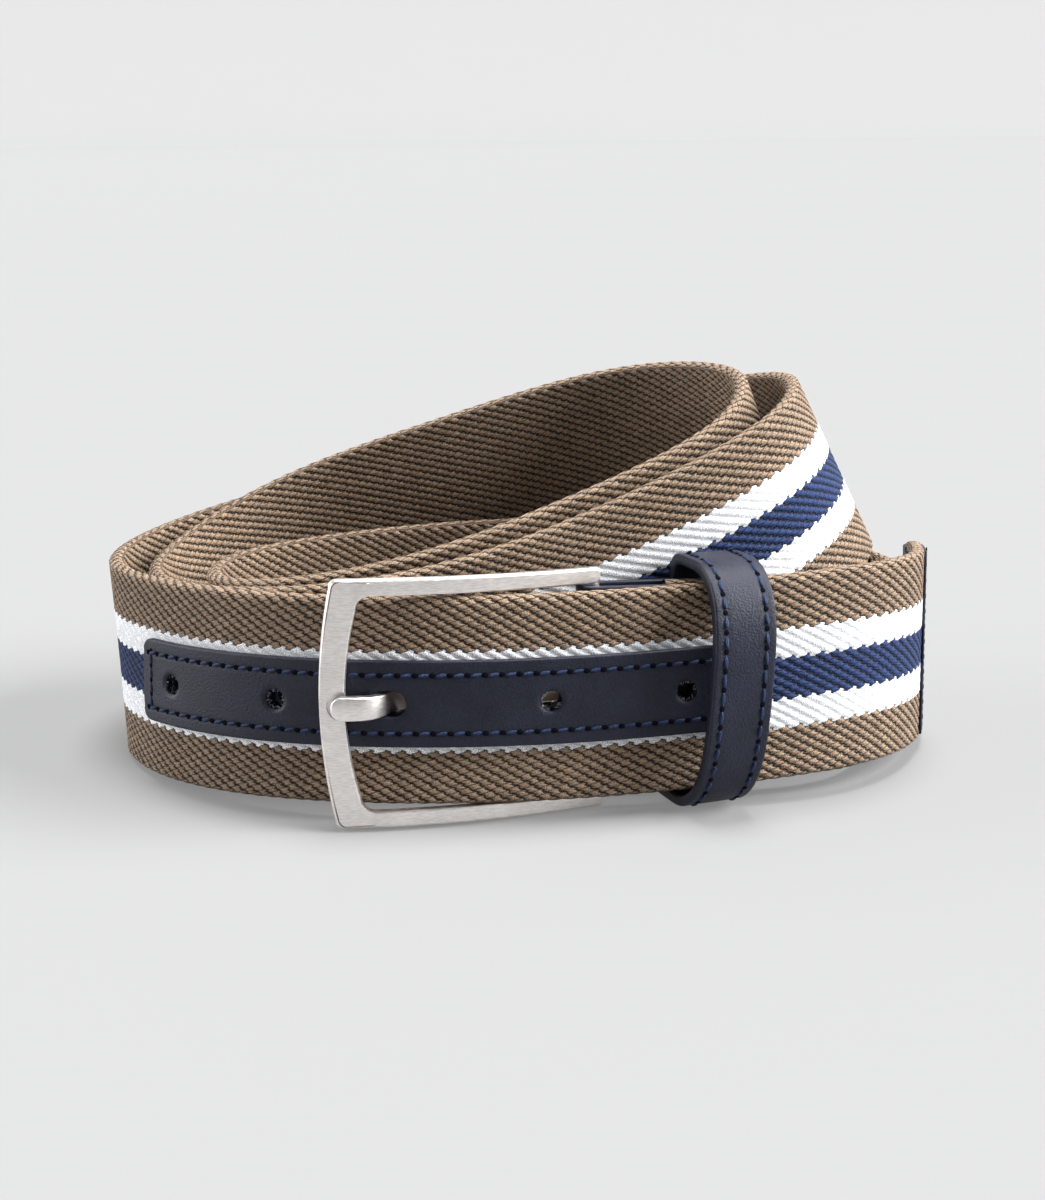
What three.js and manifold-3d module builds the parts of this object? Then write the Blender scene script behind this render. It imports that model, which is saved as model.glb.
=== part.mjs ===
// Adjustable belt: a striped elastic webbing strap with leather trims and a single-prong buckle,
// fastened in its middle hole, coiled in three turns and standing on its edge. Millimetres, +Z up.
// +X runs along the front strap towards its tip, and -Y is the side that the buckle faces.
import * as THREE from "three";
import { mergeVertices } from "three/addons/utils/BufferGeometryUtils.js";
import Module from "manifold-3d";

const wasm = await Module();
wasm.setup();

// Air left between two pieces that lie against each other
const GAP = 0.3;

// The strap: 38 mm webbing with leather of 1.4 mm sewn on it
const WEB_WIDTH = 38;
const WEB_THICK = 3;
const WEB_CHAMFER = 0.7;
const LEATHER = 1.4;
const LEATHER_CHAMFER = 0.3;
const LEATHER_OFFSET = WEB_THICK / 2 + GAP + LEATHER / 2;
const SECTION_STEP = 4;

// The route of the strap from its tip to the buckle's pivot: its centre line, and the degrees by which
// its top edge leans out of the coil. A row is a section of the strap.
const ROUTE = [
  { at: "tip", x: 79, y: 43.5, z: 20.5, lean: -2 },
  { at: "tip cap's end", x: 75.5, y: 29, z: 22, lean: -1 },
  { at: "front right bend", x: 64.5, y: 15, z: 23.5, lean: -3 },
  { at: "under the keeper", x: 34, y: 4.5, z: 23, lean: -4 },
  { at: "over the buckle tab", x: 6, y: 0, z: 22.5, lean: -4 },
  { at: "over the buckle bar", x: -31.5, y: 0, z: 22.5, lean: -4 },
  { at: "front left bend", x: -73, y: 27.5, z: 19.5, lean: -4 },
  { at: "left end, turn 1", x: -79.5, y: 39.5, z: 19, lean: 1 },
  { at: "back left, turn 1", x: -74, y: 69.5, z: 20, lean: 9 },
  { at: "back, turn 1 rising", x: -41, y: 88, z: 27, lean: 4 },
  { at: "back middle, turn 1", x: 6, y: 90.5, z: 37.5, lean: 2 },
  { at: "back right, turn 1", x: 46, y: 79, z: 49, lean: -11 },
  { at: "right end, turn 1", x: 61.5, y: 57, z: 54.5, lean: -26 },
  { at: "right side, turn 1", x: 55, y: 31, z: 51, lean: -17 },
  { at: "inside front, turn 2 falling", x: 12, y: 14.5, z: 33, lean: 1 },
  { at: "inside front left, turn 2", x: -31.5, y: 9.5, z: 23, lean: 4 },
  { at: "left side, turn 2", x: -61.5, y: 27.5, z: 19, lean: 12 },
  { at: "left end, turn 2", x: -67.5, y: 52.5, z: 19, lean: 19 },
  { at: "back left, turn 2", x: -53.5, y: 75, z: 26.5, lean: 5 },
  { at: "back, turn 2 rising", x: -15.5, y: 82, z: 40.5, lean: -7 },
  { at: "back right, turn 2", x: 29, y: 78.5, z: 53, lean: -15 },
  { at: "right end, turn 2", x: 49.5, y: 57, z: 55, lean: -22 },
  { at: "right side, turn 2", x: 43, y: 32, z: 49, lean: -10 },
  { at: "inside front, turn 3 falling", x: 8, y: 18.5, z: 35, lean: 5 },
  { at: "inside front left, turn 3", x: -29, y: 14.5, z: 24.5, lean: 6 },
  { at: "left side, turn 3", x: -54.5, y: 26, z: 20, lean: 8 },
  { at: "left end, turn 3", x: -57, y: 44.5, z: 19, lean: 6 },
  { at: "back left, turn 3", x: -38, y: 64.5, z: 19, lean: -1 },
  { at: "back middle, turn 3", x: 2.5, y: 73.5, z: 19.5, lean: 3 },
  { at: "back right, turn 3", x: 46.5, y: 64.5, z: 19, lean: 10 },
  { at: "right end, turn 3", x: 67.7, y: 43, z: 18.7, lean: 11 },
  { at: "right side, turn 3", x: 69, y: 28.5, z: 19.5, lean: 5 },
  { at: "right bend before the buckle", x: 60, y: 18, z: 21, lean: -3 },
  { at: "behind the keeper", x: 42.5, y: 11.5, z: 22, lean: -4 },
  { at: "past the pivot", x: 10, y: 7, z: 22.5, lean: -4 },
];

// The punched holes, counted from the tip; the prong is in the middle one, which it has drawn out
const HOLE_FIRST = 70.9;
const HOLE_STEP = 24.57;
const HOLE_COUNT = 5;
const HOLE_RADIUS = 1.9;
const HOLE_SIDES = 12;
const BUCKLED_HOLE = 2;
const SLOT = { from: 120, to: 126.8, halfHeight: 2.4 };

// The leather strip along the holes, which starts under the keeper
const STRIP = { from: 59, to: 178, width: 15.8, cornerRadius: 2 };

// The leather caps: one folded over the tip, one folded round the buckle's pivot
const TIP_CAP_LENGTH = 11.5;
const BUCKLE_TAB = { length: 17, width: 37.4, slotLength: 4, slotHeight: 4.8 };
const WEB_END_TO_PIVOT = 5;

// The buckle's frame, seen from its front: a U of two arms and a bar, arched round the strap
const BUCKLE_CENTRE_Z = 22.7;
const BUCKLE_LEAN = THREE.MathUtils.degToRad(4);
const BAR = { middle: -33.3, width: 4.6, bow: 1.8, depth: -4.73 };
const ARM = { left: 22.6, right: 22.15, innerLeft: 19.6, innerRight: 19.7, end: 14.3 };
const FRAME_THICK = 2.2;
const FRAME_CHAMFER = 0.5;
const OUTER_CORNER = 1.2;
const INNER_CORNER = 2.6;
const ARCH = 185;
const PIVOT = { x: 12.8, depth: 7.2, radius: 1.4 };
const NOTCH = { left: -34.3, right: -30, deep: 1.1, height: 5 };

// The prong: a ring round the pivot and a shank that comes through the buckled hole onto the bar.
// A row is a section: its middle as seen from above, its thickness and its height.
const PRONG_RING = { inner: 1.7, outer: 3, height: 3.6 };
const PRONG = [
  { at: "in the ring's wall", x: 10.6, y: 6.8, thick: 1.6, high: 3.4 },
  { at: "behind the strap", x: 8, y: 6, thick: 2.1, high: 4 },
  { at: "middle of the shank", x: -4, y: 3.9, thick: 2.2, high: 4.1 },
  { at: "before the bend", x: -16.5, y: 2.6, thick: 2.2, high: 4.1 },
  { at: "bend behind the hole", x: -20.6, y: 1.9, thick: 2.1, high: 4.1 },
  { at: "in the hole", x: -22.9, y: -0.9, thick: 2, high: 4.1 },
  { at: "out of the hole", x: -24.3, y: -4.2, thick: 2, high: 4.1 },
  { at: "bend over the strap", x: -26, y: -5.9, thick: 2.1, high: 4.3 },
  { at: "start of the flat", x: -28.2, y: -6.2, thick: 2.1, high: 4.3 },
  { at: "over the notch", x: -31.6, y: -6.1, thick: 2, high: 4.3 },
  { at: "rounding", x: -33, y: -6, thick: 1.7, high: 3.3 },
  { at: "tip", x: -33.6, y: -5.9, thick: 1, high: 1.6 },
];
const PRONG_STEP = 1.2;

// The keeper: a leather loop that sits askew on the strap and stands off its front. It is rounder in
// front than behind, and each half gets shallower from left to right by its own share of a millimetre.
const KEEPER = {
  x: 34.2,
  y: 7.7,
  z: 23,
  turn: THREE.MathUtils.degToRad(21),
  lean: THREE.MathUtils.degToRad(-2),
  skew: 0.095,
  width: 11.5,
  height: 45.5,
  thick: 1.9,
  front: { depth: 13, squareDeep: 2.2, squareHigh: 3.1, splay: -0.08 },
  back: { depth: 7.9, squareDeep: 11, squareHigh: 4.5, splay: 0.3 },
};
const KEEPER_SECTIONS = 56;

// The group's shift that puts the middle of its lowest face's box at the origin
const ORIGIN = { x: 0.61, y: -43.09, z: 0.14 };

const LEATHER_FINISH = { color: 0x30333c, roughness: 0.6, metalness: 0 };
const WEBBING_FINISH = { color: 0x77694f, roughness: 0.9, metalness: 0 };
const METAL_FINISH = { color: 0xb4aca6, roughness: 0.35, metalness: 1 };

// A natural cubic curve through the values at the knots, as a function of a place along the knots.
function naturalSpline(knots, values) {
  const last = knots.length - 1;
  const bend = new Array(last + 1).fill(0);
  const share = new Array(last + 1).fill(0);
  for (let i = 1; i < last; i++) {
    const before = knots[i] - knots[i - 1];
    const after = knots[i + 1] - knots[i];
    const turn = (values[i + 1] - values[i]) / after - (values[i] - values[i - 1]) / before;
    const weight = 2 * (before + after) - before * share[i - 1];
    share[i] = after / weight;
    bend[i] = (6 * turn - before * bend[i - 1]) / weight;
  }
  for (let i = last - 1; i > 0; i--) bend[i] -= share[i] * bend[i + 1];
  return (place) => {
    let i = 0;
    while (i < last - 1 && knots[i + 1] < place) i++;
    const span = knots[i + 1] - knots[i];
    const b = (place - knots[i]) / span;
    const a = 1 - b;
    const curve = (a ** 3 - a) * bend[i] + (b ** 3 - b) * bend[i + 1];
    return a * values[i] + b * values[i + 1] + (curve * span ** 2) / 6;
  };
}

// Rounded curves through the rows of a table, by the straight distances between the rows.
function tableCurves(rows, columns) {
  const knots = [0];
  for (let i = 1; i < rows.length; i++) {
    const a = rows[i - 1];
    const b = rows[i];
    knots.push(knots[i - 1] + Math.hypot(b.x - a.x, b.y - a.y, (b.z ?? 0) - (a.z ?? 0)));
  }
  const curves = {};
  for (const column of columns) {
    curves[column] = naturalSpline(
      knots,
      rows.map((row) => row[column]),
    );
  }
  return { curves, length: knots[knots.length - 1] };
}

const route = tableCurves(ROUTE, ["x", "y", "z", "lean"]);

function routePoint(place) {
  const { x, y, z } = route.curves;
  return new THREE.Vector3(x(place), y(place), z(place));
}

// True distances along the route, to find the place of a distance measured on the strap.
const MEASURE = { places: [0], distances: [0] };
for (let place = 0.5; place < route.length + 0.5; place += 0.5) {
  const here = Math.min(place, route.length);
  const i = MEASURE.places.length - 1;
  const step = routePoint(here).distanceTo(routePoint(MEASURE.places[i]));
  MEASURE.places.push(here);
  MEASURE.distances.push(MEASURE.distances[i] + step);
}
const ROUTE_LENGTH = MEASURE.distances[MEASURE.distances.length - 1];

function placeOf(distance) {
  let i = 0;
  while (i < MEASURE.distances.length - 2 && MEASURE.distances[i + 1] < distance) i++;
  const span = MEASURE.distances[i + 1] - MEASURE.distances[i];
  const part = (distance - MEASURE.distances[i]) / span;
  return MEASURE.places[i] + part * (MEASURE.places[i + 1] - MEASURE.places[i]);
}

// The strap at a distance from its tip: its middle, and its directions along, up and out of its face.
// Beyond the ends of the route it goes straight on.
function strapAt(distance) {
  const inside = THREE.MathUtils.clamp(distance, 0, ROUTE_LENGTH);
  const place = THREE.MathUtils.clamp(placeOf(inside), 0.01, route.length - 0.01);
  const along = routePoint(place + 0.01).sub(routePoint(place - 0.01)).normalize();
  const middle = routePoint(place).addScaledVector(along, distance - inside);
  const upright = new THREE.Vector3(0, 0, 1).addScaledVector(along, -along.z).normalize();
  const outward = upright.clone().cross(along);
  const lean = THREE.MathUtils.degToRad(route.curves.lean(place));
  const up = upright.clone().multiplyScalar(Math.cos(lean)).addScaledVector(outward, Math.sin(lean));
  const out = outward.multiplyScalar(Math.cos(lean)).addScaledVector(upright, -Math.sin(lean));
  return { middle, along, up, out };
}

function strapPoint(section, high, off) {
  return section.middle.clone().addScaledVector(section.up, high).addScaledVector(section.out, off);
}

// A chamfered rectangle as eight pairs of offsets from its middle.
function chamferedSection(high, thick, chamfer) {
  const top = high / 2;
  const side = thick / 2;
  return [
    [-top + chamfer, -side],
    [top - chamfer, -side],
    [top, -side + chamfer],
    [top, side - chamfer],
    [top - chamfer, side],
    [-top + chamfer, side],
    [-top, side - chamfer],
    [-top, -side + chamfer],
  ];
}

// A solid skinned over rings of points; with closed ends, or joined to itself as a loop.
function skin(rings, loop = false) {
  const count = rings[0].length;
  const faces = [];
  const spans = loop ? rings.length : rings.length - 1;
  for (let r = 0; r < spans; r++) {
    const here = r * count;
    const next = ((r + 1) % rings.length) * count;
    for (let i = 0; i < count; i++) {
      const j = (i + 1) % count;
      faces.push(here + i, next + i, next + j, here + i, next + j, here + j);
    }
  }
  if (!loop) {
    const end = (rings.length - 1) * count;
    for (let i = 1; i < count - 1; i++) {
      faces.push(0, i, i + 1, end, end + i + 1, end + i);
    }
  }
  return closedSolid(rings.flat(), faces);
}

// A manifold solid from points and faces, with the faces turned outwards.
function closedSolid(points, faces) {
  let volume = 0;
  for (let i = 0; i < faces.length; i += 3) {
    const [a, b, c] = [points[faces[i]], points[faces[i + 1]], points[faces[i + 2]]];
    volume += a.dot(b.clone().cross(c)) / 6;
  }
  const triVerts = new Uint32Array(faces);
  if (volume < 0) triVerts.reverse();
  const vertProperties = new Float32Array(points.flatMap((p) => [p.x, p.y, p.z]));
  return new wasm.Manifold(new wasm.Mesh({ numProp: 3, vertProperties, triVerts }));
}

// A solid from a three.js geometry.
function solidOf(geometry) {
  const bare = geometry.clone();
  bare.deleteAttribute("normal");
  bare.deleteAttribute("uv");
  const merged = mergeVertices(bare, 1e-4);
  return new wasm.Manifold(
    new wasm.Mesh({
      numProp: 3,
      vertProperties: new Float32Array(merged.attributes.position.array),
      triVerts: new Uint32Array(merged.index.array),
    }),
  );
}

// A cylinder with its middle at a point and its axis along a direction.
function rod(middle, direction, radius, length, sides) {
  const geometry = new THREE.CylinderGeometry(radius, radius, length, sides);
  const turn = new THREE.Quaternion().setFromUnitVectors(new THREE.Vector3(0, 1, 0), direction);
  geometry.applyQuaternion(turn);
  geometry.translate(middle.x, middle.y, middle.z);
  return solidOf(geometry);
}

function meshOf(name, solid, finish) {
  const made = solid.getMesh();
  const geometry = new THREE.BufferGeometry();
  geometry.setAttribute("position", new THREE.BufferAttribute(made.vertProperties, made.numProp));
  geometry.setIndex(new THREE.BufferAttribute(made.triVerts, 1));
  geometry.computeVertexNormals();
  const mesh = new THREE.Mesh(geometry, new THREE.MeshStandardMaterial(finish));
  mesh.name = name;
  return mesh;
}

function distances(from, to, step) {
  const count = Math.ceil(Math.abs(to - from) / step);
  return Array.from({ length: count + 1 }, (_, i) => from + ((to - from) * i) / count);
}

// A flat band that follows the strap at a fixed offset from its middle.
function bandRing(distance, width, thick, chamfer, offset) {
  const section = strapAt(distance);
  return chamferedSection(width, thick, chamfer).map(([high, off]) => strapPoint(section, high, off + offset));
}

// A leather band folded over an end of the strap: along one face, round the end, back on the other.
function foldedBand(foldAt, length, width) {
  const fold = strapAt(foldAt);
  const towardsStrap = foldAt < ROUTE_LENGTH / 2 ? 1 : -1;
  const outline = [];
  for (const run of distances(length, 0, 3)) outline.push({ run, off: LEATHER_OFFSET, angle: 0 });
  const steps = 10;
  for (let i = 1; i < steps; i++) {
    const angle = (Math.PI * i) / steps;
    outline.push({ run: 0, off: 0, angle });
  }
  for (const run of distances(0, length, 3)) outline.push({ run, off: -LEATHER_OFFSET, angle: Math.PI });
  const rings = outline.map(({ run, off, angle }) => {
    if (off !== 0) return bandRing(foldAt + towardsStrap * run, width, LEATHER, LEATHER_CHAMFER, off);
    return chamferedSection(width, LEATHER, LEATHER_CHAMFER).map(([high, thick]) => {
      const radius = LEATHER_OFFSET + thick;
      return strapPoint(fold, high, radius * Math.cos(angle)).addScaledVector(
        fold.along,
        -towardsStrap * radius * Math.sin(angle),
      );
    });
  });
  const back = outline.findIndex(({ angle }) => angle === Math.PI);
  for (let i = back; i < rings.length; i++) rings[i] = mirroredRing(rings[i]);
  return skin(rings);
}

// The same ring counted so that its outer points stay outer after the fold.
function mirroredRing(ring) {
  return [5, 4, 3, 2, 1, 0, 7, 6].map((i) => ring[i]);
}

// The strap and its leather
function holeCutter(index) {
  if (index === BUCKLED_HOLE) {
    const reach = SLOT.halfHeight;
    const ends = [SLOT.from + reach, SLOT.to - reach].map((distance) => {
      const section = strapAt(distance);
      return rod(section.middle, section.out, reach, 16, HOLE_SIDES);
    });
    return wasm.Manifold.hull(ends);
  }
  const section = strapAt(HOLE_FIRST + HOLE_STEP * index);
  return rod(section.middle, section.out, HOLE_RADIUS, 12, HOLE_SIDES);
}

function punched(solid) {
  let made = solid;
  for (let index = 0; index < HOLE_COUNT; index++) made = made.subtract(holeCutter(index));
  return made;
}

function pivotDistance() {
  const found = distances(ROUTE_LENGTH - 20, ROUTE_LENGTH, 0.1).map((distance) => ({
    distance,
    off: Math.abs(strapAt(distance).middle.x - PIVOT.x),
  }));
  return found.sort((a, b) => a.off - b.off)[0].distance;
}

function webbing() {
  const end = pivotDistance() - WEB_END_TO_PIVOT;
  const rings = distances(0, end, SECTION_STEP).map((distance) =>
    bandRing(distance, WEB_WIDTH, WEB_THICK, WEB_CHAMFER, 0),
  );
  return punched(skin(rings));
}

function holeStrip() {
  const { from, to, width, cornerRadius } = STRIP;
  const rings = distances(from, to - cornerRadius, SECTION_STEP).map((distance) =>
    bandRing(distance, width, LEATHER, LEATHER_CHAMFER, LEATHER_OFFSET),
  );
  for (const angle of [30, 60, 85]) {
    const turned = THREE.MathUtils.degToRad(angle);
    const narrow = 2 * cornerRadius * (1 - Math.cos(turned));
    const distance = to - cornerRadius + cornerRadius * Math.sin(turned);
    rings.push(bandRing(distance, width - narrow, LEATHER, LEATHER_CHAMFER, LEATHER_OFFSET));
  }
  return punched(skin(rings));
}

function tipCap() {
  return foldedBand(0, TIP_CAP_LENGTH, WEB_WIDTH);
}

function buckleTab() {
  const { length, width, slotLength, slotHeight } = BUCKLE_TAB;
  const band = foldedBand(pivotDistance(), length, width);
  const section = strapAt(pivotDistance());
  const slot = new THREE.BoxGeometry(2 * slotLength, 12, slotHeight);
  const turn = new THREE.Matrix4().makeBasis(section.along, section.out, section.up);
  slot.applyMatrix4(turn);
  slot.translate(section.middle.x, section.middle.y, section.middle.z);
  return band.subtract(solidOf(slot));
}

// The buckle leans with the strap under it: a point of it by its x, its depth behind the front strap's
// line and its height over the buckle's middle.
function bucklePoint(x, depth, high) {
  const cos = Math.cos(BUCKLE_LEAN);
  const sin = Math.sin(BUCKLE_LEAN);
  return new THREE.Vector3(x, depth * cos + high * sin, BUCKLE_CENTRE_Z - depth * sin + high * cos);
}

const BUCKLE_UP = new THREE.Vector3(0, Math.sin(BUCKLE_LEAN), Math.cos(BUCKLE_LEAN));

function archDepth(x) {
  return BAR.depth + Math.max(0, x - BAR.middle) ** 2 / ARCH;
}

// The upper half of the frame as pairs of an outer and an inner point, from the arm's end to the bar.
function frameOutline() {
  const { lerp } = THREE.MathUtils;
  const outerLeft = BAR.middle + BAR.bow - BAR.width / 2;
  const innerLeft = BAR.middle + BAR.bow + BAR.width / 2;
  const start = innerLeft + INNER_CORNER;
  const pairs = [];
  pairs.push({ outer: [ARM.end + 0.7, ARM.right - 0.7], inner: [ARM.end + 0.7, ARM.innerRight + 0.7] });
  for (const x of distances(ARM.end, start, 4)) {
    const part = (ARM.end - x) / (ARM.end - start);
    pairs.push({
      outer: [x, lerp(ARM.right, ARM.left, part)],
      inner: [x, lerp(ARM.innerRight, ARM.innerLeft, part)],
    });
  }
  const steps = 5;
  for (let i = 1; i <= steps; i++) {
    const angle = (Math.PI / 2) * (i / steps);
    const outerX = outerLeft + OUTER_CORNER;
    pairs.push({
      outer: [outerX - OUTER_CORNER * Math.sin(angle), ARM.left - OUTER_CORNER * (1 - Math.cos(angle))],
      inner: [start - INNER_CORNER * Math.sin(angle), ARM.innerLeft - INNER_CORNER * (1 - Math.cos(angle))],
    });
  }
  const corner = pairs[pairs.length - 1];
  const barSteps = 4;
  for (let i = 1; i <= barSteps; i++) {
    const left = 1 - i / barSteps;
    const bow = BAR.bow * (1 - left ** 2);
    pairs.push({
      outer: [corner.outer[0] - bow, corner.outer[1] * left],
      inner: [corner.inner[0] - bow, corner.inner[1] * left],
    });
  }
  return pairs;
}

function frameRing({ outer, inner }, side) {
  const along = new THREE.Vector2(outer[0] - inner[0], outer[1] - inner[1]);
  const width = along.length();
  along.normalize();
  return chamferedSection(width, FRAME_THICK, FRAME_CHAMFER).map(([across, deep]) => {
    const x = (outer[0] + inner[0]) / 2 + along.x * across;
    const high = (outer[1] + inner[1]) / 2 + along.y * across;
    return bucklePoint(x, archDepth(x) + deep, side * high);
  });
}

function buckleFrame() {
  const half = frameOutline();
  const lower = half.slice(0, -1).reverse();
  const rings = half.map((pair) => frameRing(pair, 1));
  for (const pair of lower) rings.push(frameRing(pair, -1));
  const body = skin(rings);
  const pivot = rod(bucklePoint(PIVOT.x, PIVOT.depth, 0), BUCKLE_UP, PIVOT.radius, 2 * 20.6, 16);
  const notch = new THREE.BoxGeometry(NOTCH.right - NOTCH.left, 2 * NOTCH.deep, NOTCH.height);
  notch.rotateX(-BUCKLE_LEAN);
  const place = bucklePoint((NOTCH.left + NOTCH.right) / 2, BAR.depth - FRAME_THICK / 2, 0);
  notch.translate(place.x, place.y, place.z);
  return body.add(pivot).subtract(solidOf(notch));
}

function prong() {
  const { curves, length } = tableCurves(PRONG, ["x", "y", "thick", "high"]);
  const rings = distances(0, length, PRONG_STEP).map((place) => {
    const before = Math.max(place - 0.05, 0);
    const after = Math.min(place + 0.05, length);
    const run = new THREE.Vector2(
      curves.x(after) - curves.x(before),
      curves.y(after) - curves.y(before),
    ).normalize();
    const thick = curves.thick(place);
    return chamferedSection(curves.high(place), thick, Math.min(0.45, thick * 0.3)).map(([high, off]) =>
      bucklePoint(curves.x(place) - run.y * off, curves.y(place) + run.x * off, high),
    );
  });
  const centre = bucklePoint(PIVOT.x, PIVOT.depth, 0);
  const ring = rod(centre, BUCKLE_UP, PRONG_RING.outer, PRONG_RING.height, 20);
  const bore = rod(centre, BUCKLE_UP, PRONG_RING.inner, 2 * PRONG_RING.height, 20);
  return ring.add(skin(rings)).subtract(bore);
}

// A point of the keeper by its angle round the loop, its place across the band and its layer.
function keeperPoint(angle, across, inset) {
  const { turn, lean, skew, height, front, back } = KEEPER;
  const half = Math.cos(angle) >= 0 ? front : back;
  const squared = (value, square) => Math.sign(value) * Math.abs(value) ** (2 / square);
  const high = (height / 2 - inset) * squared(Math.sin(angle), half.squareHigh);
  const off = (half.depth - half.splay * across - inset) * squared(Math.cos(angle), half.squareDeep);
  const along = new THREE.Vector3(Math.cos(turn), Math.sin(turn), 0);
  const out = new THREE.Vector3(Math.sin(turn), -Math.cos(turn), 0);
  return new THREE.Vector3(KEEPER.x, KEEPER.y, KEEPER.z)
    .addScaledVector(along, across + skew * high)
    .addScaledVector(out, off * Math.cos(lean) + high * Math.sin(lean))
    .add(new THREE.Vector3(0, 0, high * Math.cos(lean) - off * Math.sin(lean)));
}

function keeper() {
  const section = chamferedSection(KEEPER.width, KEEPER.thick, 0.4);
  const rings = [];
  for (let i = 0; i < KEEPER_SECTIONS; i++) {
    const angle = (2 * Math.PI * i) / KEEPER_SECTIONS;
    rings.push(section.map(([across, layer]) => keeperPoint(angle, across, KEEPER.thick / 2 - layer)));
  }
  return skin(rings, true);
}

const group = new THREE.Group();
group.name = "adjustable_belt";
group.add(
  meshOf("webbing", webbing(), WEBBING_FINISH),
  meshOf("hole_strip", holeStrip(), LEATHER_FINISH),
  meshOf("tip_cap", tipCap(), LEATHER_FINISH),
  meshOf("buckle_tab", buckleTab(), LEATHER_FINISH),
  meshOf("buckle_frame", buckleFrame(), METAL_FINISH),
  meshOf("prong", prong(), METAL_FINISH),
  meshOf("keeper", keeper(), LEATHER_FINISH),
);
group.position.set(ORIGIN.x, ORIGIN.y, ORIGIN.z);

export default group;
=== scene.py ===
"""Dresses the adjustable belt: ribbed webbing, stitched leather, a satin buckle, and a plain stage."""

import math

import bmesh
import bpy
import numpy as np
from bpy.props import FloatProperty, FloatVectorProperty, PointerProperty
from bpy.types import Operator, Panel, PropertyGroup
from mathutils import Matrix, Vector


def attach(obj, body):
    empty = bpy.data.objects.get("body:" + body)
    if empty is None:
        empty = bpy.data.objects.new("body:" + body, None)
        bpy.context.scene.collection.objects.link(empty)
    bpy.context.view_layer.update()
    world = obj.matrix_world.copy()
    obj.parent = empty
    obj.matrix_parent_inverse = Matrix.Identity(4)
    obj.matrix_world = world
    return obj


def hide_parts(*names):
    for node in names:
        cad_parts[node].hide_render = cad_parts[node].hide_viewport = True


bl_info = {
    "name": "Adjustable Belt",
    "version": (1, 0, 0),
    "blender": (4, 5, 0),
    "location": "3D View > Sidebar > Belt",
    "description": "Makes the belt's webbing, leather, stitches and buckle, and a stage to show it on",
    "category": "Object",
}

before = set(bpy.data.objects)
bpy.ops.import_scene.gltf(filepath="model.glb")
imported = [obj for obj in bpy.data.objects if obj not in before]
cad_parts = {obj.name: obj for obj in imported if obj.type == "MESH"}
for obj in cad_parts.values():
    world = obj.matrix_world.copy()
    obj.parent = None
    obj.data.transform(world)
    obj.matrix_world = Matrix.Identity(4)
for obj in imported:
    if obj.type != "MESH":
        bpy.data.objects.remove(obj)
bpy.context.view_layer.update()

MM = 0.001

# Where the route's own zero lies in the row frame, in millimetres
ORIGIN = np.array([0.61, -43.09, 0.14])

# The route of the strap from its tip to the buckle's pivot, in millimetres: the x, y and z of its
# centre line, and the degrees by which its top edge leans out of the coil
ROUTE = {
    "tip": (79, 43.5, 20.5, -2),
    "tip cap's end": (75.5, 29, 22, -1),
    "front right bend": (64.5, 15, 23.5, -3),
    "under the keeper": (34, 4.5, 23, -4),
    "over the buckle tab": (6, 0, 22.5, -4),
    "over the buckle bar": (-31.5, 0, 22.5, -4),
    "front left bend": (-73, 27.5, 19.5, -4),
    "left end, turn 1": (-79.5, 39.5, 19, 1),
    "back left, turn 1": (-74, 69.5, 20, 9),
    "back, turn 1 rising": (-41, 88, 27, 4),
    "back middle, turn 1": (6, 90.5, 37.5, 2),
    "back right, turn 1": (46, 79, 49, -11),
    "right end, turn 1": (61.5, 57, 54.5, -26),
    "right side, turn 1": (55, 31, 51, -17),
    "inside front, turn 2 falling": (12, 14.5, 33, 1),
    "inside front left, turn 2": (-31.5, 9.5, 23, 4),
    "left side, turn 2": (-61.5, 27.5, 19, 12),
    "left end, turn 2": (-67.5, 52.5, 19, 19),
    "back left, turn 2": (-53.5, 75, 26.5, 5),
    "back, turn 2 rising": (-15.5, 82, 40.5, -7),
    "back right, turn 2": (29, 78.5, 53, -15),
    "right end, turn 2": (49.5, 57, 55, -22),
    "right side, turn 2": (43, 32, 49, -10),
    "inside front, turn 3 falling": (8, 18.5, 35, 5),
    "inside front left, turn 3": (-29, 14.5, 24.5, 6),
    "left side, turn 3": (-54.5, 26, 20, 8),
    "left end, turn 3": (-57, 44.5, 19, 6),
    "back left, turn 3": (-38, 64.5, 19, -1),
    "back middle, turn 3": (2.5, 73.5, 19.5, 3),
    "back right, turn 3": (46.5, 64.5, 19, 10),
    "right end, turn 3": (67.7, 43, 18.7, 11),
    "right side, turn 3": (69, 28.5, 19.5, 5),
    "right bend before the buckle": (60, 18, 21, -3),
    "behind the keeper": (42.5, 11.5, 22, -4),
    "past the pivot": (10, 7, 22.5, -4),
}

# Sizes and places of the strap's leather and holes, in millimetres, along it from its tip
LEATHER = 1.4
LEATHER_OFFSET = 2.5
HOLE_FIRST = 70.9
HOLE_STEP = 24.57
HOLE_COUNT = 5
HOLE_RADIUS = 1.9
BUCKLED_HOLE = 2
SLOT_FROM = 120.7
SLOT_TO = 126.8
SLOT_HALF = 2.4
STRIP_FROM = 59.0
STRIP_TO = 178.0
STRIP_WIDTH = 15.8
STRIP_CORNER = 2.0
TIP_CAP_LENGTH = 9.8
TIP_CAP_WIDTH = 36.6
TIP_CAP_THICK = 0.45
TIP_CAP_OFFSET = 1.78
TAB_LENGTH = 17.0
TAB_WIDTH = 37.4
SEAM_FROM_END = 2.5
SEAM_FROM_EDGE = 2.6
WEB_END_TO_PIVOT = 13.0
RING_SLOT_REACH = 4
RING_SLOT_HALF = 2.4

# How deep and how wide a seam pulls the leather in and a hole's rim is pressed in, in millimetres
SEAM_SIZE = (0.1, 0.45)
RIM_DEEP = 0.4
RIM_WIDE = 0.7

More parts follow.
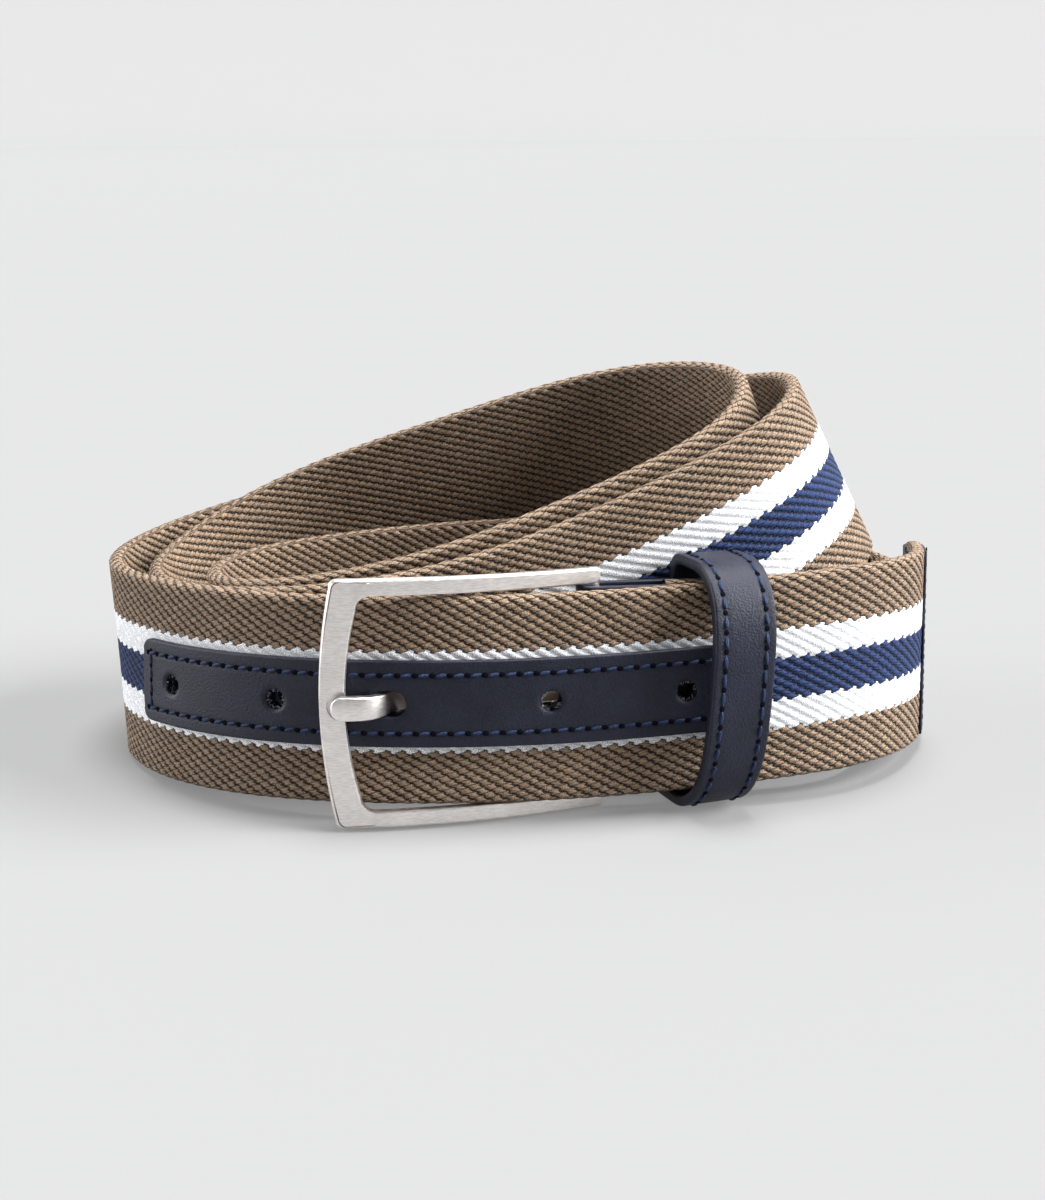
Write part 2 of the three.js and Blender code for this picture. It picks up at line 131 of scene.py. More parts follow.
# The buckle, in millimetres: x runs along it, depth goes behind the front strap's line, high is over
# its middle. An arm's two heights are at the bar and at its end, and a smaller arch curves back more
BUCKLE_Z = 22.7
BUCKLE_LEAN = math.radians(4)
BAR_MIDDLE = -33.8
BAR_WIDTH = 4.6
BAR_BOW = 2.3
BAR_DEPTH = -4.73
ARM_END = 13.3
ARM_OUTER = (22.6, 22.15)
ARM_INNER = (19.6, 19.2)
FRAME_THICK = 2.2
ARM_BEVEL = 0.42
BAR_BEVEL = 0.16
CORNER_BEVEL = 0.45
GROOVE = 0.45
NOTCH_LEFT = -34.8
NOTCH_RIGHT = -29.0
NOTCH_HALF = 2.65
NOTCH_DEEP = 1.3
OUTER_CORNER = 1.2
END_CORNER = 0.8
INNER_CORNER = 2.6
ARCH = 185.0
ARCH_LOW = 220.0
PIVOT_X = 12.8
PIVOT_DEPTH = 7.2
PIVOT_RADIUS = 1.1
PIVOT_HALF = 20.6
PIVOT_SIDES = 28

# The prong's sections, in millimetres: x and depth of its middle, its thickness and its height. Its tip
# is thinned over its last bit
PRONG = {
    "in the ring's wall": (10.6, 6.8, 1.6, 3.4),
    "behind the strap": (8, 6, 2.1, 4),
    "middle of the shank": (-4, 3.9, 2.2, 4.1),
    "before the bend": (-17.5, 2.6, 2.2, 4.1),
    "bend behind the hole": (-21.8, 1.7, 2.1, 4.1),
    "in the hole": (-24.1, -0.9, 2, 4.1),
    "out of the hole": (-25.5, -4, 2, 4.1),
    "bend over the strap": (-27.3, -5.8, 2.1, 4.2),
    "start of the flat": (-29.8, -6.2, 2.1, 4.3),
    "over the notch": (-32.2, -6.1, 2, 4.3),
    "tip": (-34.05, -6, 1.9, 4.3),
}
PRONG_ROUND = 2.15
PRONG_EDGE = 0.2
PRONG_DROP = 0.35
PRONG_THIN_OVER = 0.5
PRONG_THIN_BY = 0.9
RING_INNER = 1.7
RING_OUTER = 3.0
RING_HALF = 1.8
RING_EDGE = 0.2

# The keeper's loop, in millimetres: its middle, how it is turned, and its front and back halves
KEEPER_MIDDLE = np.array([34.2, 7.7, 23.0])
KEEPER_TURN = math.radians(21)
KEEPER_LEAN = math.radians(-2)
KEEPER_SKEW = 0.095
KEEPER_WIDTH = 11.5
KEEPER_HEIGHT = 45.5
KEEPER_THICK = 1.9
KEEPER_SEAM_FROM_EDGE = 1.9
KEEPER_SEAM_SIZE = (0.09, 0.4)
KEEPER_ROUND = 0.4
KEEPER_CUT_EDGE = 0.3
KEEPER_FRONT = {"depth": 13.0, "square_deep": 2.2, "square_high": 3.1, "splay": -0.08}
KEEPER_BACK = {"depth": 7.9, "square_deep": 11.0, "square_high": 4.5, "splay": 0.3}

# The photo's viewpoint: the camera's distance and height over the belt, in millimetres, and its lens
VIEW_DISTANCE = 318.33
VIEW_HEIGHT = 40.58
VIEW_ELEVATION = math.radians(15.376)
VIEW_ROLL = math.radians(-0.664)
VIEW_LENS = 54.095


class WebbingSettings(PropertyGroup):
    """Sizes and colours of the striped webbing."""

    width: FloatProperty(name="Width", description="Width of the strap", default=0.038, unit="LENGTH")
    thickness: FloatProperty(
        name="Thickness", description="Thickness over the crests of the ribs", default=0.003, unit="LENGTH"
    )
    rib_pitch: FloatProperty(
        name="Rib pitch", description="Distance between ribs along the strap", default=0.0029, unit="LENGTH"
    )
    rib_depth: FloatProperty(
        name="Rib depth", description="Depth of the valleys between ribs", default=0.0002, unit="LENGTH"
    )
    olive: FloatVectorProperty(
        name="Olive", description="Colour of the outer stripes", default=(0.285, 0.201, 0.136),
        subtype="COLOR", min=0, max=1,
    )
    white: FloatVectorProperty(
        name="White", description="Colour of the narrow stripes", default=(0.73, 0.74, 0.755),
        subtype="COLOR", min=0, max=1,
    )
    navy: FloatVectorProperty(
        name="Navy", description="Colour of the middle stripe", default=(0.0118, 0.0335, 0.122),
        subtype="COLOR", min=0, max=1,
    )


class LeatherSettings(PropertyGroup):
    """Sizes and colours of the leather trims and their stitches."""

    leather: FloatVectorProperty(
        name="Leather", description="Colour of the leather", default=(0.0085, 0.0105, 0.022),
        subtype="COLOR", min=0, max=1,
    )
    thread: FloatVectorProperty(
        name="Thread", description="Colour of the sewing thread", default=(0.01, 0.023, 0.066),
        subtype="COLOR", min=0, max=1,
    )
    stitch: FloatProperty(
        name="Stitch", description="Length of a stitch that shows", default=0.0021, unit="LENGTH"
    )
    pitch: FloatProperty(
        name="Stitch pitch", description="Distance between stitches on the strap", default=0.003,
        unit="LENGTH",
    )


class BuckleSettings(PropertyGroup):
    """Finish of the buckle and its prong."""

    metal: FloatVectorProperty(
        name="Metal", description="Colour of the satin metal", default=(0.82, 0.78, 0.755),
        subtype="COLOR", min=0, max=1,
    )
    roughness: FloatProperty(
        name="Roughness", description="How dull the metal is", default=0.36, min=0, max=1, subtype="FACTOR"
    )


class StageSettings(PropertyGroup):
    """The floor and the lights."""

    floor: FloatVectorProperty(
        name="Floor", description="Colour of the floor", default=(0.158, 0.158, 0.159),
        subtype="COLOR", min=0, max=1,
    )
    glow: FloatProperty(
        name="Glow", description="How brightly the lit table under the belt glows", default=0.2, min=0
    )
    key: FloatProperty(
        name="Key light", description="Strength of the low light from the right", default=9.0, min=0
    )
    top: FloatProperty(
        name="Top light", description="Strength of the high light from behind", default=5.5, min=0
    )
    fill: FloatProperty(
        name="Fill light", description="Strength of the weaker light, from the left", default=3.4, min=0
    )
    sky: FloatProperty(
        name="Sky", description="Strength of the light from all round", default=0.25, min=0
    )


def natural_spline(knots, values):
    """A smooth curve through the rows of values at the knots, as a function of places along the knots."""
    knots = np.asarray(knots, float)
    values = np.asarray(values, float)
    steps = np.diff(knots)
    last = len(knots) - 1
    system = np.eye(last + 1)
    turns = np.zeros_like(values)
    for i in range(1, last):
        system[i, i - 1 : i + 2] = steps[i - 1], 2 * (steps[i - 1] + steps[i]), steps[i]
        after = (values[i + 1] - values[i]) / steps[i]
        before = (values[i] - values[i - 1]) / steps[i - 1]
        turns[i] = 6 * (after - before)
    bends = np.linalg.solve(system, turns)

    def curve(places):
        i = np.clip(np.searchsorted(knots, places) - 1, 0, last - 1)
        span = steps[i][:, None]
        b = (places - knots[i])[:, None] / span
        a = 1 - b
        bent = ((a**3 - a) * bends[i] + (b**3 - b) * bends[i + 1]) * span**2 / 6
        return a * values[i] + b * values[i + 1] + bent

    return curve


def chord_knots(points):
    """Distances along the straight lines between points, from 0."""
    return np.concatenate([[0], np.cumsum(np.linalg.norm(np.diff(points, axis=0), axis=1))])


def unit(vectors):
    """The vectors at length 1."""
    return vectors / np.linalg.norm(vectors, axis=-1, keepdims=True)


class StrapRoute:
    """The strap's middle line and its directions along, up and out, by the distance from its tip."""

    samples_per_mm = 4

    def __init__(self, rows):
        rows = np.array(rows, float)
        knots = chord_knots(rows[:, :3])
        places = np.linspace(0, knots[-1], int(knots[-1] * self.samples_per_mm))
        sampled = natural_spline(knots, rows)(places)
        middle = sampled[:, :3]
        lean = np.radians(sampled[:, 3:])
        along = unit(np.gradient(middle, axis=0))
        upright = unit(np.array([0, 0, 1.0]) - along * along[:, 2:])
        outward = np.cross(upright, along)
        up = np.cos(lean) * upright + np.sin(lean) * outward
        out = np.cos(lean) * outward - np.sin(lean) * upright
        self.distance = chord_knots(middle)
        self.length = self.distance[-1]
        self.tracks = np.hstack([middle, along, up, out])

    def at(self, distance):
        """The middle line's points and the directions along, up and out, at distances from the tip."""
        distance = np.atleast_1d(np.asarray(distance, float))
        inside = np.clip(distance, 0, self.length)
        rows = np.stack([np.interp(inside, self.distance, track) for track in self.tracks.T], axis=1)
        middle, along, up, out = np.split(rows, 4, axis=1)
        along, up, out = unit(along), unit(up), unit(out)
        return middle + along * (distance - inside)[:, None], along, up, out

    def points(self, distance, high, off):
        """Points beside the middle line, by heights over it and distances out of the strap's face."""
        middle, _, up, out = self.at(distance)
        return middle + up * np.reshape(high, (-1, 1)) + out * np.reshape(off, (-1, 1))


STRAP = StrapRoute(list(ROUTE.values()))

# The stretch at the strap's end, in millimetres, in which the pivot lies
LAST_STRETCH = 20


def pivot_distance():
    """The distance along the strap at which it passes the buckle's pivot."""
    distance = np.arange(STRAP.length - LAST_STRETCH, STRAP.length, 0.1)
    middle = STRAP.at(distance)[0]
    return float(distance[np.argmin(np.abs(middle[:, 0] - PIVOT_X))])


PIVOT_DISTANCE = pivot_distance()


def in_row_frame(points):
    """Millimetres of the route's frame as metres of the row frame."""
    return (np.asarray(points, float) + ORIGIN) * MM


def mesh_object(name, points, faces, uvs=None, materials=(), slots=None):
    """A new smooth object from points in the row frame; uvs has a pair for each corner of each face."""
    mesh = bpy.data.meshes.new(name)
    mesh.from_pydata([tuple(p) for p in points], [], [tuple(int(i) for i in f) for f in faces])
    if uvs is not None:
        layer = mesh.uv_layers.new(name="cloth")
        layer.data.foreach_set("uv", np.asarray(uvs, np.float32).ravel())
    for material in materials:
        mesh.materials.append(material)
    if slots is not None:
        mesh.polygons.foreach_set("material_index", np.asarray(slots, np.int32))
    mesh.polygons.foreach_set("use_smooth", np.ones(len(mesh.polygons), bool))
    mesh.update()
    made = bpy.data.objects.new(name, mesh)
    bpy.context.scene.collection.objects.link(made)
    return made


def closed_object(name, points, faces, materials=(), slots=None):
    """A new closed object from points in the route's frame, with its faces turned outwards."""
    made = mesh_object(name, in_row_frame(points), faces, None, materials, slots)
    edited = bmesh.new()
    edited.from_mesh(made.data)
    bmesh.ops.recalc_face_normals(edited, faces=edited.faces)
    edited.to_mesh(made.data)
    edited.free()
    return made


def apply_modifiers(made):
    """Swaps the object's mesh for the one its modifiers make, and removes them."""
    graph = bpy.context.evaluated_depsgraph_get()
    shaped = bpy.data.meshes.new_from_object(made.evaluated_get(graph))
    made.modifiers.clear()
    made.data = shaped
    shaped.name = made.name


def combine(made, other, operation):
    """Joins the other object to this one, or cuts it out, and deletes it."""
    step = made.modifiers.new("combine", "BOOLEAN")
    step.operation = operation
    step.solver = "EXACT"
    step.object = other
    apply_modifiers(made)
    bpy.data.objects.remove(other, do_unlink=True)


def settle(made, node):
    """Puts a finished piece on the one body and hides the part that it replaces."""
    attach(made, "root")
    if node:
        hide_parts(node)


def ring_faces(rings, count, loop=False):
    """Quads between neighbouring rings of count points, and flat ends where they aren't a loop."""
    spans = rings if loop else rings - 1
    faces = []
    for r in range(spans):
        here = r * count
        there = ((r + 1) % rings) * count
        for i in range(count):
            j = (i + 1) % count
            faces.append((here + i, there + i, there + j, here + j))
    if not loop:
        faces.append(tuple(range(count)))
        faces.append(tuple(range((rings - 1) * count, rings * count))[::-1])
    return faces


class Nodes:
    """Adds nodes to a material's or a modifier's tree, and links them."""

    def __init__(self, tree):
        self.tree = tree

    def add(self, kind, inputs=None, **settings):
        """Adds a node with its settings and inputs."""
        node = self.tree.nodes.new(kind)
        for name, value in settings.items():
            setattr(node, name, value)
        for name, value in (inputs or {}).items():
            self.feed(node.inputs[name], value)
        return node

    def feed(self, socket, value):
        """Links a socket to another, or sets its value."""
        if isinstance(value, bpy.types.NodeSocket):
            self.tree.links.new(value, socket)
        else:
            socket.default_value = value

    def math(self, operation, *values, clamp=False):
        node = self.add("ShaderNodeMath", operation=operation, use_clamp=clamp)
        for socket, value in zip(node.inputs, values):
            self.feed(socket, value)
        return node.outputs[0]

    def between(self, share, low, high):
        """Runs from low to high while the share runs from 0 to 1."""
        return self.math("MULTIPLY_ADD", share, high - low, low)

    def mix(self, share, low, high):
        """Mixes two colours, or sockets with colours, by the share of the second."""
        node = self.add("ShaderNodeMix", data_type="RGBA", inputs={"Factor": share})
        self.feed(node.inputs["A"], low)
        self.feed(node.inputs["B"], high)
        return node.outputs["Result"]

    def ramp(self, value, low, high):
        """0 below low, 1 above high, smooth between."""
        node = self.add(
            "ShaderNodeMapRange", interpolation_type="SMOOTHSTEP",
            inputs={"Value": value, "From Min": low, "From Max": high},
        )
        return node.outputs["Result"]

    def noise(self, place, scale, detail=2.0, roughness=0.5, dimensions="3D"):
        """Smooth noise about 0.5, by place."""
        node = self.add(
            "ShaderNodeTexNoise", noise_dimensions=dimensions,
            inputs={"Vector": place, "Scale": scale, "Detail": detail, "Roughness": roughness},
        )
        return node.outputs["Fac"]

    def object_place(self):
        """The place on the object, in metres."""
        return self.add("ShaderNodeTexCoord").outputs["Object"]

    def bump(self, height, distance, strength=1.0):
        """The surface's direction under a relief in which height 1 is the distance in metres."""
        inputs = {"Height": height, "Distance": distance, "Strength": strength}
        return self.add("ShaderNodeBump", inputs).outputs[0]


def new_material(name):
    """An empty material, its node helper and its shader."""
    material = bpy.data.materials.new(name)
    material.use_nodes = True
    tree = material.node_tree
    shader = tree.nodes["Principled BSDF"]
    return material, Nodes(tree), shader


def colour(tint, factor=1.0):
    """A shade of a colour, as a shader's socket takes it."""
    return (*(min(1.0, c * factor) for c in tint), 1.0)


# The webbing's pattern, in millimetres: the ribs slant so that 43 of them fit once round the strap, and
# each is a row of knots at fixed heights across the strap
RIBS_ROUND = 43
KNOT_PITCH = 0.768
KNOT_SLANT = 1.15
NAVY_HALF = 3.84
WHITE_HALF = 8.9

# How far a rib waves and wanders, as a share of the rib pitch, and how steeply and deeply the yarn falls
# away beside a rib's middle and a knot's middle
RIB_WAVE = 0.1
RIB_WANDER = 0.36
WANDER_SCALE = 0.9
RIB_FALL = (3.4, 0.8)
KNOT_FALL = (2.6, 0.6)

# Painted shade deep between the ribs and knots: the colours the yarn darkens to there, and the relief over
# which it darkens; and how the yarn varies from knot to knot and from fibre to fibre
NAVY_VALLEY_SHADE = (0.004, 0.007, 0.022)
WHITE_VALLEY_SHADE = (0.62, 0.64, 0.68)
OLIVE_VALLEY_SHADE = (0.02, 0.011, 0.005)
CREST_FROM = 0.26
CREST_TO = 0.92
KNOT_SHADES = (0.86, 1.1)
FIBRE_SCALE = 4.6
FIBRE_SHADES = (0.5, 1.5)
FIBRE_HEIGHT = 0.5
YARN_BUMP = 0.0005
WHITE_BUMP_SHARE = 0.28


def webbing_material():
    """Ribs of knotted yarn in stripes, with painted shade darkening the yarn between ribs and knots, drawn
    from distances along and across the strap in millimetres.
    """
    settings = bpy.context.scene.belt_webbing
    pitch = settings.rib_pitch / MM
    slope = RIBS_ROUND * pitch / (2 * settings.width / MM)
    material, nodes, shader = new_material("striped_webbing")

    def fall(share, steep, deep):
        away = nodes.math("ABSOLUTE", nodes.math("MULTIPLY", share, 2))
        return nodes.math("MULTIPLY", nodes.math("POWER", away, steep), deep)

    place = nodes.add("ShaderNodeUVMap", uv_map="cloth").outputs["UV"]
    split = nodes.add("ShaderNodeSeparateXYZ", {"Vector": place})
    run, across = split.outputs["X"], split.outputs["Y"]
    rib_count = nodes.math("DIVIDE", nodes.math("MULTIPLY_ADD", across, -slope, run), pitch)
    wave = nodes.math("SINE", nodes.math("MULTIPLY", across, 2 * math.pi / KNOT_PITCH))
    rib_count = nodes.math("MULTIPLY_ADD", wave, RIB_WAVE, rib_count)
    uneven = nodes.math("SUBTRACT", nodes.noise(place, WANDER_SCALE, dimensions="2D"), 0.5)
    rib_count = nodes.math("MULTIPLY_ADD", uneven, RIB_WANDER, rib_count)
    rib_share = nodes.math("SUBTRACT", nodes.math("FRACT", rib_count), 0.5)
    knot_count = nodes.math("MULTIPLY_ADD", rib_share, KNOT_SLANT, nodes.math("DIVIDE", across, KNOT_PITCH))
    knot_index = nodes.math("FLOOR", knot_count)
    knot_share = nodes.math("SUBTRACT", nodes.math("FRACT", knot_count), 0.5)
    fallen = nodes.math("ADD", fall(knot_share, *KNOT_FALL), fall(rib_share, *RIB_FALL))
    relief = nodes.math("SUBTRACT", 1, fallen)

    knot_height = nodes.math("ABSOLUTE", nodes.math("MULTIPLY_ADD", knot_index, KNOT_PITCH, KNOT_PITCH / 2))
    on_back = nodes.math("LESS_THAN", run, 0)
    outside_navy = nodes.math("MAXIMUM", nodes.math("GREATER_THAN", knot_height, NAVY_HALF), on_back)
    outside_white = nodes.math("MAXIMUM", nodes.math("GREATER_THAN", knot_height, WHITE_HALF), on_back)
    stripe = nodes.mix(outside_navy, colour(settings.navy), colour(settings.white))
    stripe = nodes.mix(outside_white, stripe, colour(settings.olive))
    # Painted shade: the darker colours that the yarn turns to deep between ribs and knots
    valley_shade = nodes.mix(outside_navy, colour(NAVY_VALLEY_SHADE), colour(WHITE_VALLEY_SHADE))
    valley_shade = nodes.mix(outside_white, valley_shade, colour(OLIVE_VALLEY_SHADE))

    knot_place = nodes.add("ShaderNodeCombineXYZ", {"X": nodes.math("FLOOR", rib_count), "Y": knot_index})
    chance = nodes.add("ShaderNodeTexWhiteNoise", {"Vector": knot_place.outputs[0]}, noise_dimensions="2D")
    fibre = nodes.noise(place, FIBRE_SCALE, roughness=0.7, dimensions="2D")
    speck = nodes.between(nodes.ramp(fibre, 0.34, 0.66), *FIBRE_SHADES)
    lit = nodes.math("MULTIPLY", nodes.between(chance.outputs["Value"], *KNOT_SHADES), speck)
    yarn = nodes.add("ShaderNodeVectorMath", operation="SCALE", inputs={0: stripe, "Scale": lit})
    # Painted shade: where the relief falls between ribs and knots, the yarn's colour darkens to the valley
    # shade
    crest = nodes.ramp(relief, CREST_FROM, CREST_TO)
    nodes.feed(shader.inputs["Base Color"], nodes.mix(crest, valley_shade, yarn.outputs[0]))
    height = nodes.math("MULTIPLY_ADD", fibre, FIBRE_HEIGHT, relief)
    white_here = nodes.math("SUBTRACT", outside_navy, outside_white)
    strength = nodes.between(white_here, 1.0, WHITE_BUMP_SHARE)
    nodes.feed(shader.inputs["Normal"], nodes.bump(height, YARN_BUMP, strength))
    shader.inputs["Roughness"].default_value = 0.65
    shader.inputs["Specular IOR Level"].default_value = 0.25
    return material


# Leather, thread and metal: the scales of their patterns per metre, and the shades of their own colour
# that they run between
LEATHER_CLOUD = 160.0
LEATHER_GRAIN = 2600.0
LEATHER_SHADES = (0.5, 1.6)
LEATHER_BUMP = 0.00015
THREAD_TWIST = 1400.0
THREAD_SHADES = (0.5, 1.7)
THREAD_BUMP = 0.0001
# The painted shade that stands for a needle hole: its near-black colours and the scale of its specks
HOLE_SHADE_DARK = (0.002, 0.002, 0.004)
HOLE_SHADE_LIGHTER = (0.008, 0.008, 0.014)
HOLE_SPECKS = 1800.0
BRUSH_LINES = 6000.0
BRUSH_SQUEEZE = (0.12, 0.12, 1.0)
BRUSH_BUMP = 0.00003
METAL_CLOUD = 220.0
METAL_SHADES = (0.88, 1.1)


def leather_material(name, tint, roughness, grain):
    """Smooth leather with a fine grain and faint clouding."""
    material, nodes, shader = new_material(name)
    place = nodes.object_place()
    fine = nodes.noise(place, LEATHER_GRAIN, detail=3.0)
    mottle = nodes.math(
        "ADD", nodes.noise(place, LEATHER_CLOUD, detail=4.0), nodes.between(fine, -0.7, 0.7), clamp=True
    )
    low, high = LEATHER_SHADES
    nodes.feed(shader.inputs["Base Color"], nodes.mix(mottle, colour(tint, low), colour(tint, high)))
    nodes.feed(shader.inputs["Roughness"], nodes.between(fine, roughness - 0.08, roughness + 0.08))
    nodes.feed(shader.inputs["Normal"], nodes.bump(fine, LEATHER_BUMP, grain))
    shader.inputs["Specular IOR Level"].default_value = 0.28
    return material


def thread_material(name, tint):
    """Twisted thread."""
    material, nodes, shader = new_material(name)
    waves = {"Vector": nodes.object_place(), "Scale": THREAD_TWIST, "Distortion": 2.0}
    twist = nodes.add("ShaderNodeTexWave", waves).outputs["Fac"]
    low, high = THREAD_SHADES
    nodes.feed(shader.inputs["Base Color"], nodes.mix(twist, colour(tint, low), colour(tint, high)))
    nodes.feed(shader.inputs["Normal"], nodes.bump(twist, THREAD_BUMP))
    shader.inputs["Roughness"].default_value = 0.6
    shader.inputs["Specular IOR Level"].default_value = 0.25
    return material


def needle_hole_shade_material():
    """Painted shade that stands for a needle hole: near-black with faint specks."""
    material, nodes, shader = new_material("painted_needle_hole_shade")
    speck = nodes.noise(nodes.object_place(), HOLE_SPECKS)
    nodes.feed(shader.inputs["Base Color"], nodes.mix(speck, colour(HOLE_SHADE_DARK), colour(HOLE_SHADE_LIGHTER)))
    shader.inputs["Roughness"].default_value = 0.9
    shader.inputs["Specular IOR Level"].default_value = 0.0
    return material


def metal_material():
    """Satin nickel with fine lines from brushing."""
    settings = bpy.context.scene.belt_buckle
    material, nodes, shader = new_material("satin_metal")
    place = nodes.object_place()
    squeezed = nodes.add("ShaderNodeMapping", {"Vector": place, "Scale": BRUSH_SQUEEZE}).outputs[0]
    lines = nodes.noise(squeezed, BRUSH_LINES, detail=3.0)
    cloud = nodes.noise(place, METAL_CLOUD)
    streak = nodes.ramp(nodes.math("MULTIPLY_ADD", cloud, 0.3, lines), 0.45, 0.85)
    dark, light = (colour(settings.metal, factor) for factor in METAL_SHADES)
    nodes.feed(shader.inputs["Base Color"], nodes.mix(streak, dark, light))
    dull = nodes.between(lines, settings.roughness - 0.15, settings.roughness + 0.15)
    nodes.feed(shader.inputs["Roughness"], dull)
    nodes.feed(shader.inputs["Normal"], nodes.bump(lines, BRUSH_BUMP, 0.8))
    shader.inputs["Metallic"].default_value = 1.0
    return material


# The glow that the floor's far end gains where it is a metre high
FAR_GLOW = 0.32


def floor_material():
    """A plain pale table, lit from below as well, so that shadows on it stay light."""
    settings = bpy.context.scene.belt_stage
    material, nodes, shader = new_material("pale_floor")
    place = nodes.object_place()
    cloud = nodes.noise(place, 6.0)
    nodes.feed(
        shader.inputs["Base Color"], nodes.mix(cloud, colour(settings.floor, 0.99), colour(settings.floor))
    )
    shader.inputs["Roughness"].default_value = 0.9
    shader.inputs["Specular IOR Level"].default_value = 0.0
    height = nodes.add("ShaderNodeSeparateXYZ", {"Vector": place}).outputs["Z"]
    far = nodes.math("MULTIPLY", nodes.math("SQRT", height), FAR_GLOW)
    shader.inputs["Emission Color"].default_value = (1, 1, 1, 1)
    nodes.feed(shader.inputs["Emission Strength"], nodes.math("ADD", far, settings.glow))
    return material


def material_named(name, make):
    """The material of that name, or a new one."""
    return bpy.data.materials.get(name) or make()


# The finishes that several pieces share, each made the first time it is asked for


def leather():
    tint = bpy.context.scene.belt_leather.leather
    return material_named("navy_leather", lambda: leather_material("navy_leather", tint, 0.5, 0.8))


def cut_edge():
    tint = colour(bpy.context.scene.belt_leather.leather, 0.8)[:3]
    return material_named("leather_cut_edge", lambda: leather_material("leather_cut_edge", tint, 0.42, 0.6))


def thread():
    tint = bpy.context.scene.belt_leather.thread
    return material_named("blue_thread", lambda: thread_material("blue_thread", tint))


def frayed_yarn():
    return material_named("frayed_yarn", lambda: thread_material("frayed_yarn", FRAY_TINT))


# Painted shade that stands for a needle hole
def shade_of_needle_hole():
    return material_named("painted_needle_hole_shade", needle_hole_shade_material)


def metal():
    return material_named("satin_metal", metal_material)


# The webbing's section, in millimetres: rows of points over each face, and rows round each edge, by how
# far they stand past the half width, their offset for a strap 3 mm thick, and their place in the pattern
FACE_ROWS = 25
FACE_MARGIN = 0.5
EDGE_PAST = np.array([-0.08, 0.1, 0.1, -0.08])
EDGE_OFF = np.array([1.1, 0.4, -0.4, -1.1])
EDGE_ARC = np.array([0, 0.7, 1.5, 2.2])
EDGE_ROWS = len(EDGE_ARC)
EDGE_RISE = 0.8
RIB_ROUNDNESS = 0.8


def webbing_object():
    """The whole strap as ribs that wind round it, so that its columns of points follow each rib."""
    settings = bpy.context.scene.belt_webbing
    pitch = settings.rib_pitch / MM
    half_width = settings.width / MM / 2
    half_thick = settings.thickness / MM / 2
    depth = settings.rib_depth / MM
    slope = RIBS_ROUND * pitch / (4 * half_width)
    quarter = pitch / 4
    end = PIVOT_DISTANCE - WEB_END_TO_PIVOT

    flat = np.linspace(-half_width + FACE_MARGIN, half_width - FACE_MARGIN, FACE_ROWS)
    face_off = np.full(FACE_ROWS, half_thick)
    edge_high = EDGE_PAST + half_width
    edge_off = EDGE_OFF * half_thick / 1.5
    edge_arc = EDGE_ARC + half_width
    edge_crossed = np.full(EDGE_ROWS, half_width)
    high = np.concatenate([flat, edge_high, flat[::-1], -edge_high])
    off = np.concatenate([face_off, edge_off, -face_off, -edge_off])
    arc = np.concatenate([flat, edge_arc, flat[::-1], -edge_arc])
    crossed = np.concatenate([flat, edge_crossed, 2 * half_width - flat[::-1], 3 * edge_crossed])
    rows = len(high)
    row = np.arange(rows)
    on_edge = (row % (FACE_ROWS + EDGE_ROWS)) >= FACE_ROWS
    on_outside = (row < FACE_ROWS + EDGE_ROWS / 2) | (row >= rows - EDGE_ROWS / 2)

    first = math.floor(-3 * half_width * slope / quarter) - 2
    last = math.ceil((end + half_width * slope) / quarter) + 2
    base = np.arange(first, last)[:, None] * quarter
    run = base + slope * crossed
    clamped = np.clip(run, 0, end)
    phase = np.where(on_outside, base, -(base + 2 * slope * half_width)) / pitch
    rise = depth * (np.abs(np.sin(np.pi * phase)) ** RIB_ROUNDNESS - 1)
    all_high = np.where(on_edge, high + np.sign(high) * rise * EDGE_RISE, high)
    all_off = np.where(on_edge, off, off + np.sign(off) * rise)
    points = STRAP.points(clamped.ravel(), all_high.ravel(), all_off.ravel())

    # The last row of one column joins the first row of the column a whole turn further on
    columns = len(base)
    turn = RIBS_ROUND * 4
    i, r = np.meshgrid(np.arange(columns - 1), row, indexing="ij")
    i, r = i.ravel(), r.ravel()
    wraps = r == rows - 1
    i2 = np.where(wraps, i + turn, i)
    r2 = np.where(wraps, 0, r + 1)
    kept = i2 + 1 < columns
    i, r, i2, r2 = i[kept], r[kept], i2[kept], r2[kept]
    corners = np.stack([i * rows + r, (i + 1) * rows + r, (i2 + 1) * rows + r2, i2 * rows + r2], axis=1)
    runs = run.ravel()[corners]
    inside = ~((runs <= 0).all(axis=1) | (runs >= end).all(axis=1))
    corners, r = corners[inside], r[inside]
    u = clamped.ravel()[corners] * np.where(on_outside[r], 1, -1)[:, None]
    uvs = np.stack([u, arc[corners % rows]], axis=2).reshape(-1, 2)
    weave = material_named("striped_webbing", webbing_material)
    made = mesh_object("belt_webbing", in_row_frame(points), corners, uvs, [weave])

    edited = bmesh.new()
    edited.from_mesh(made.data)
    bmesh.ops.remove_doubles(edited, verts=edited.verts, dist=1e-6)
    bmesh.ops.dissolve_degenerate(edited, edges=edited.edges, dist=1e-7)
    loose = [v for v in edited.verts if not v.link_faces]
    bmesh.ops.delete(edited, geom=loose, context="VERTS")
    bmesh.ops.holes_fill(edited, edges=[e for e in edited.edges if e.is_boundary], sides=0)
    bmesh.ops.recalc_face_normals(edited, faces=edited.faces)
    edited.to_mesh(made.data)
    edited.free()
    return made


def rod_points(middle, axis, radius, half, sides):
    """Two rings of points round an axis, for a cylinder."""
    axis = unit(np.asarray(axis, float))
    side = unit(np.cross(axis, [0.3, 0.2, 0.93]))
    other = np.cross(axis, side)
    angles = np.linspace(0, 2 * math.pi, sides, endpoint=False)
    ring = radius * (np.cos(angles)[:, None] * side + np.sin(angles)[:, None] * other)
    return np.concatenate([middle - half * axis + ring, middle + half * axis + ring])


# A hole cutter's sides, and how far it reaches on each side of the strap's middle, in millimetres
HOLE_SIDES = 32
CUT_REACH = 6.0


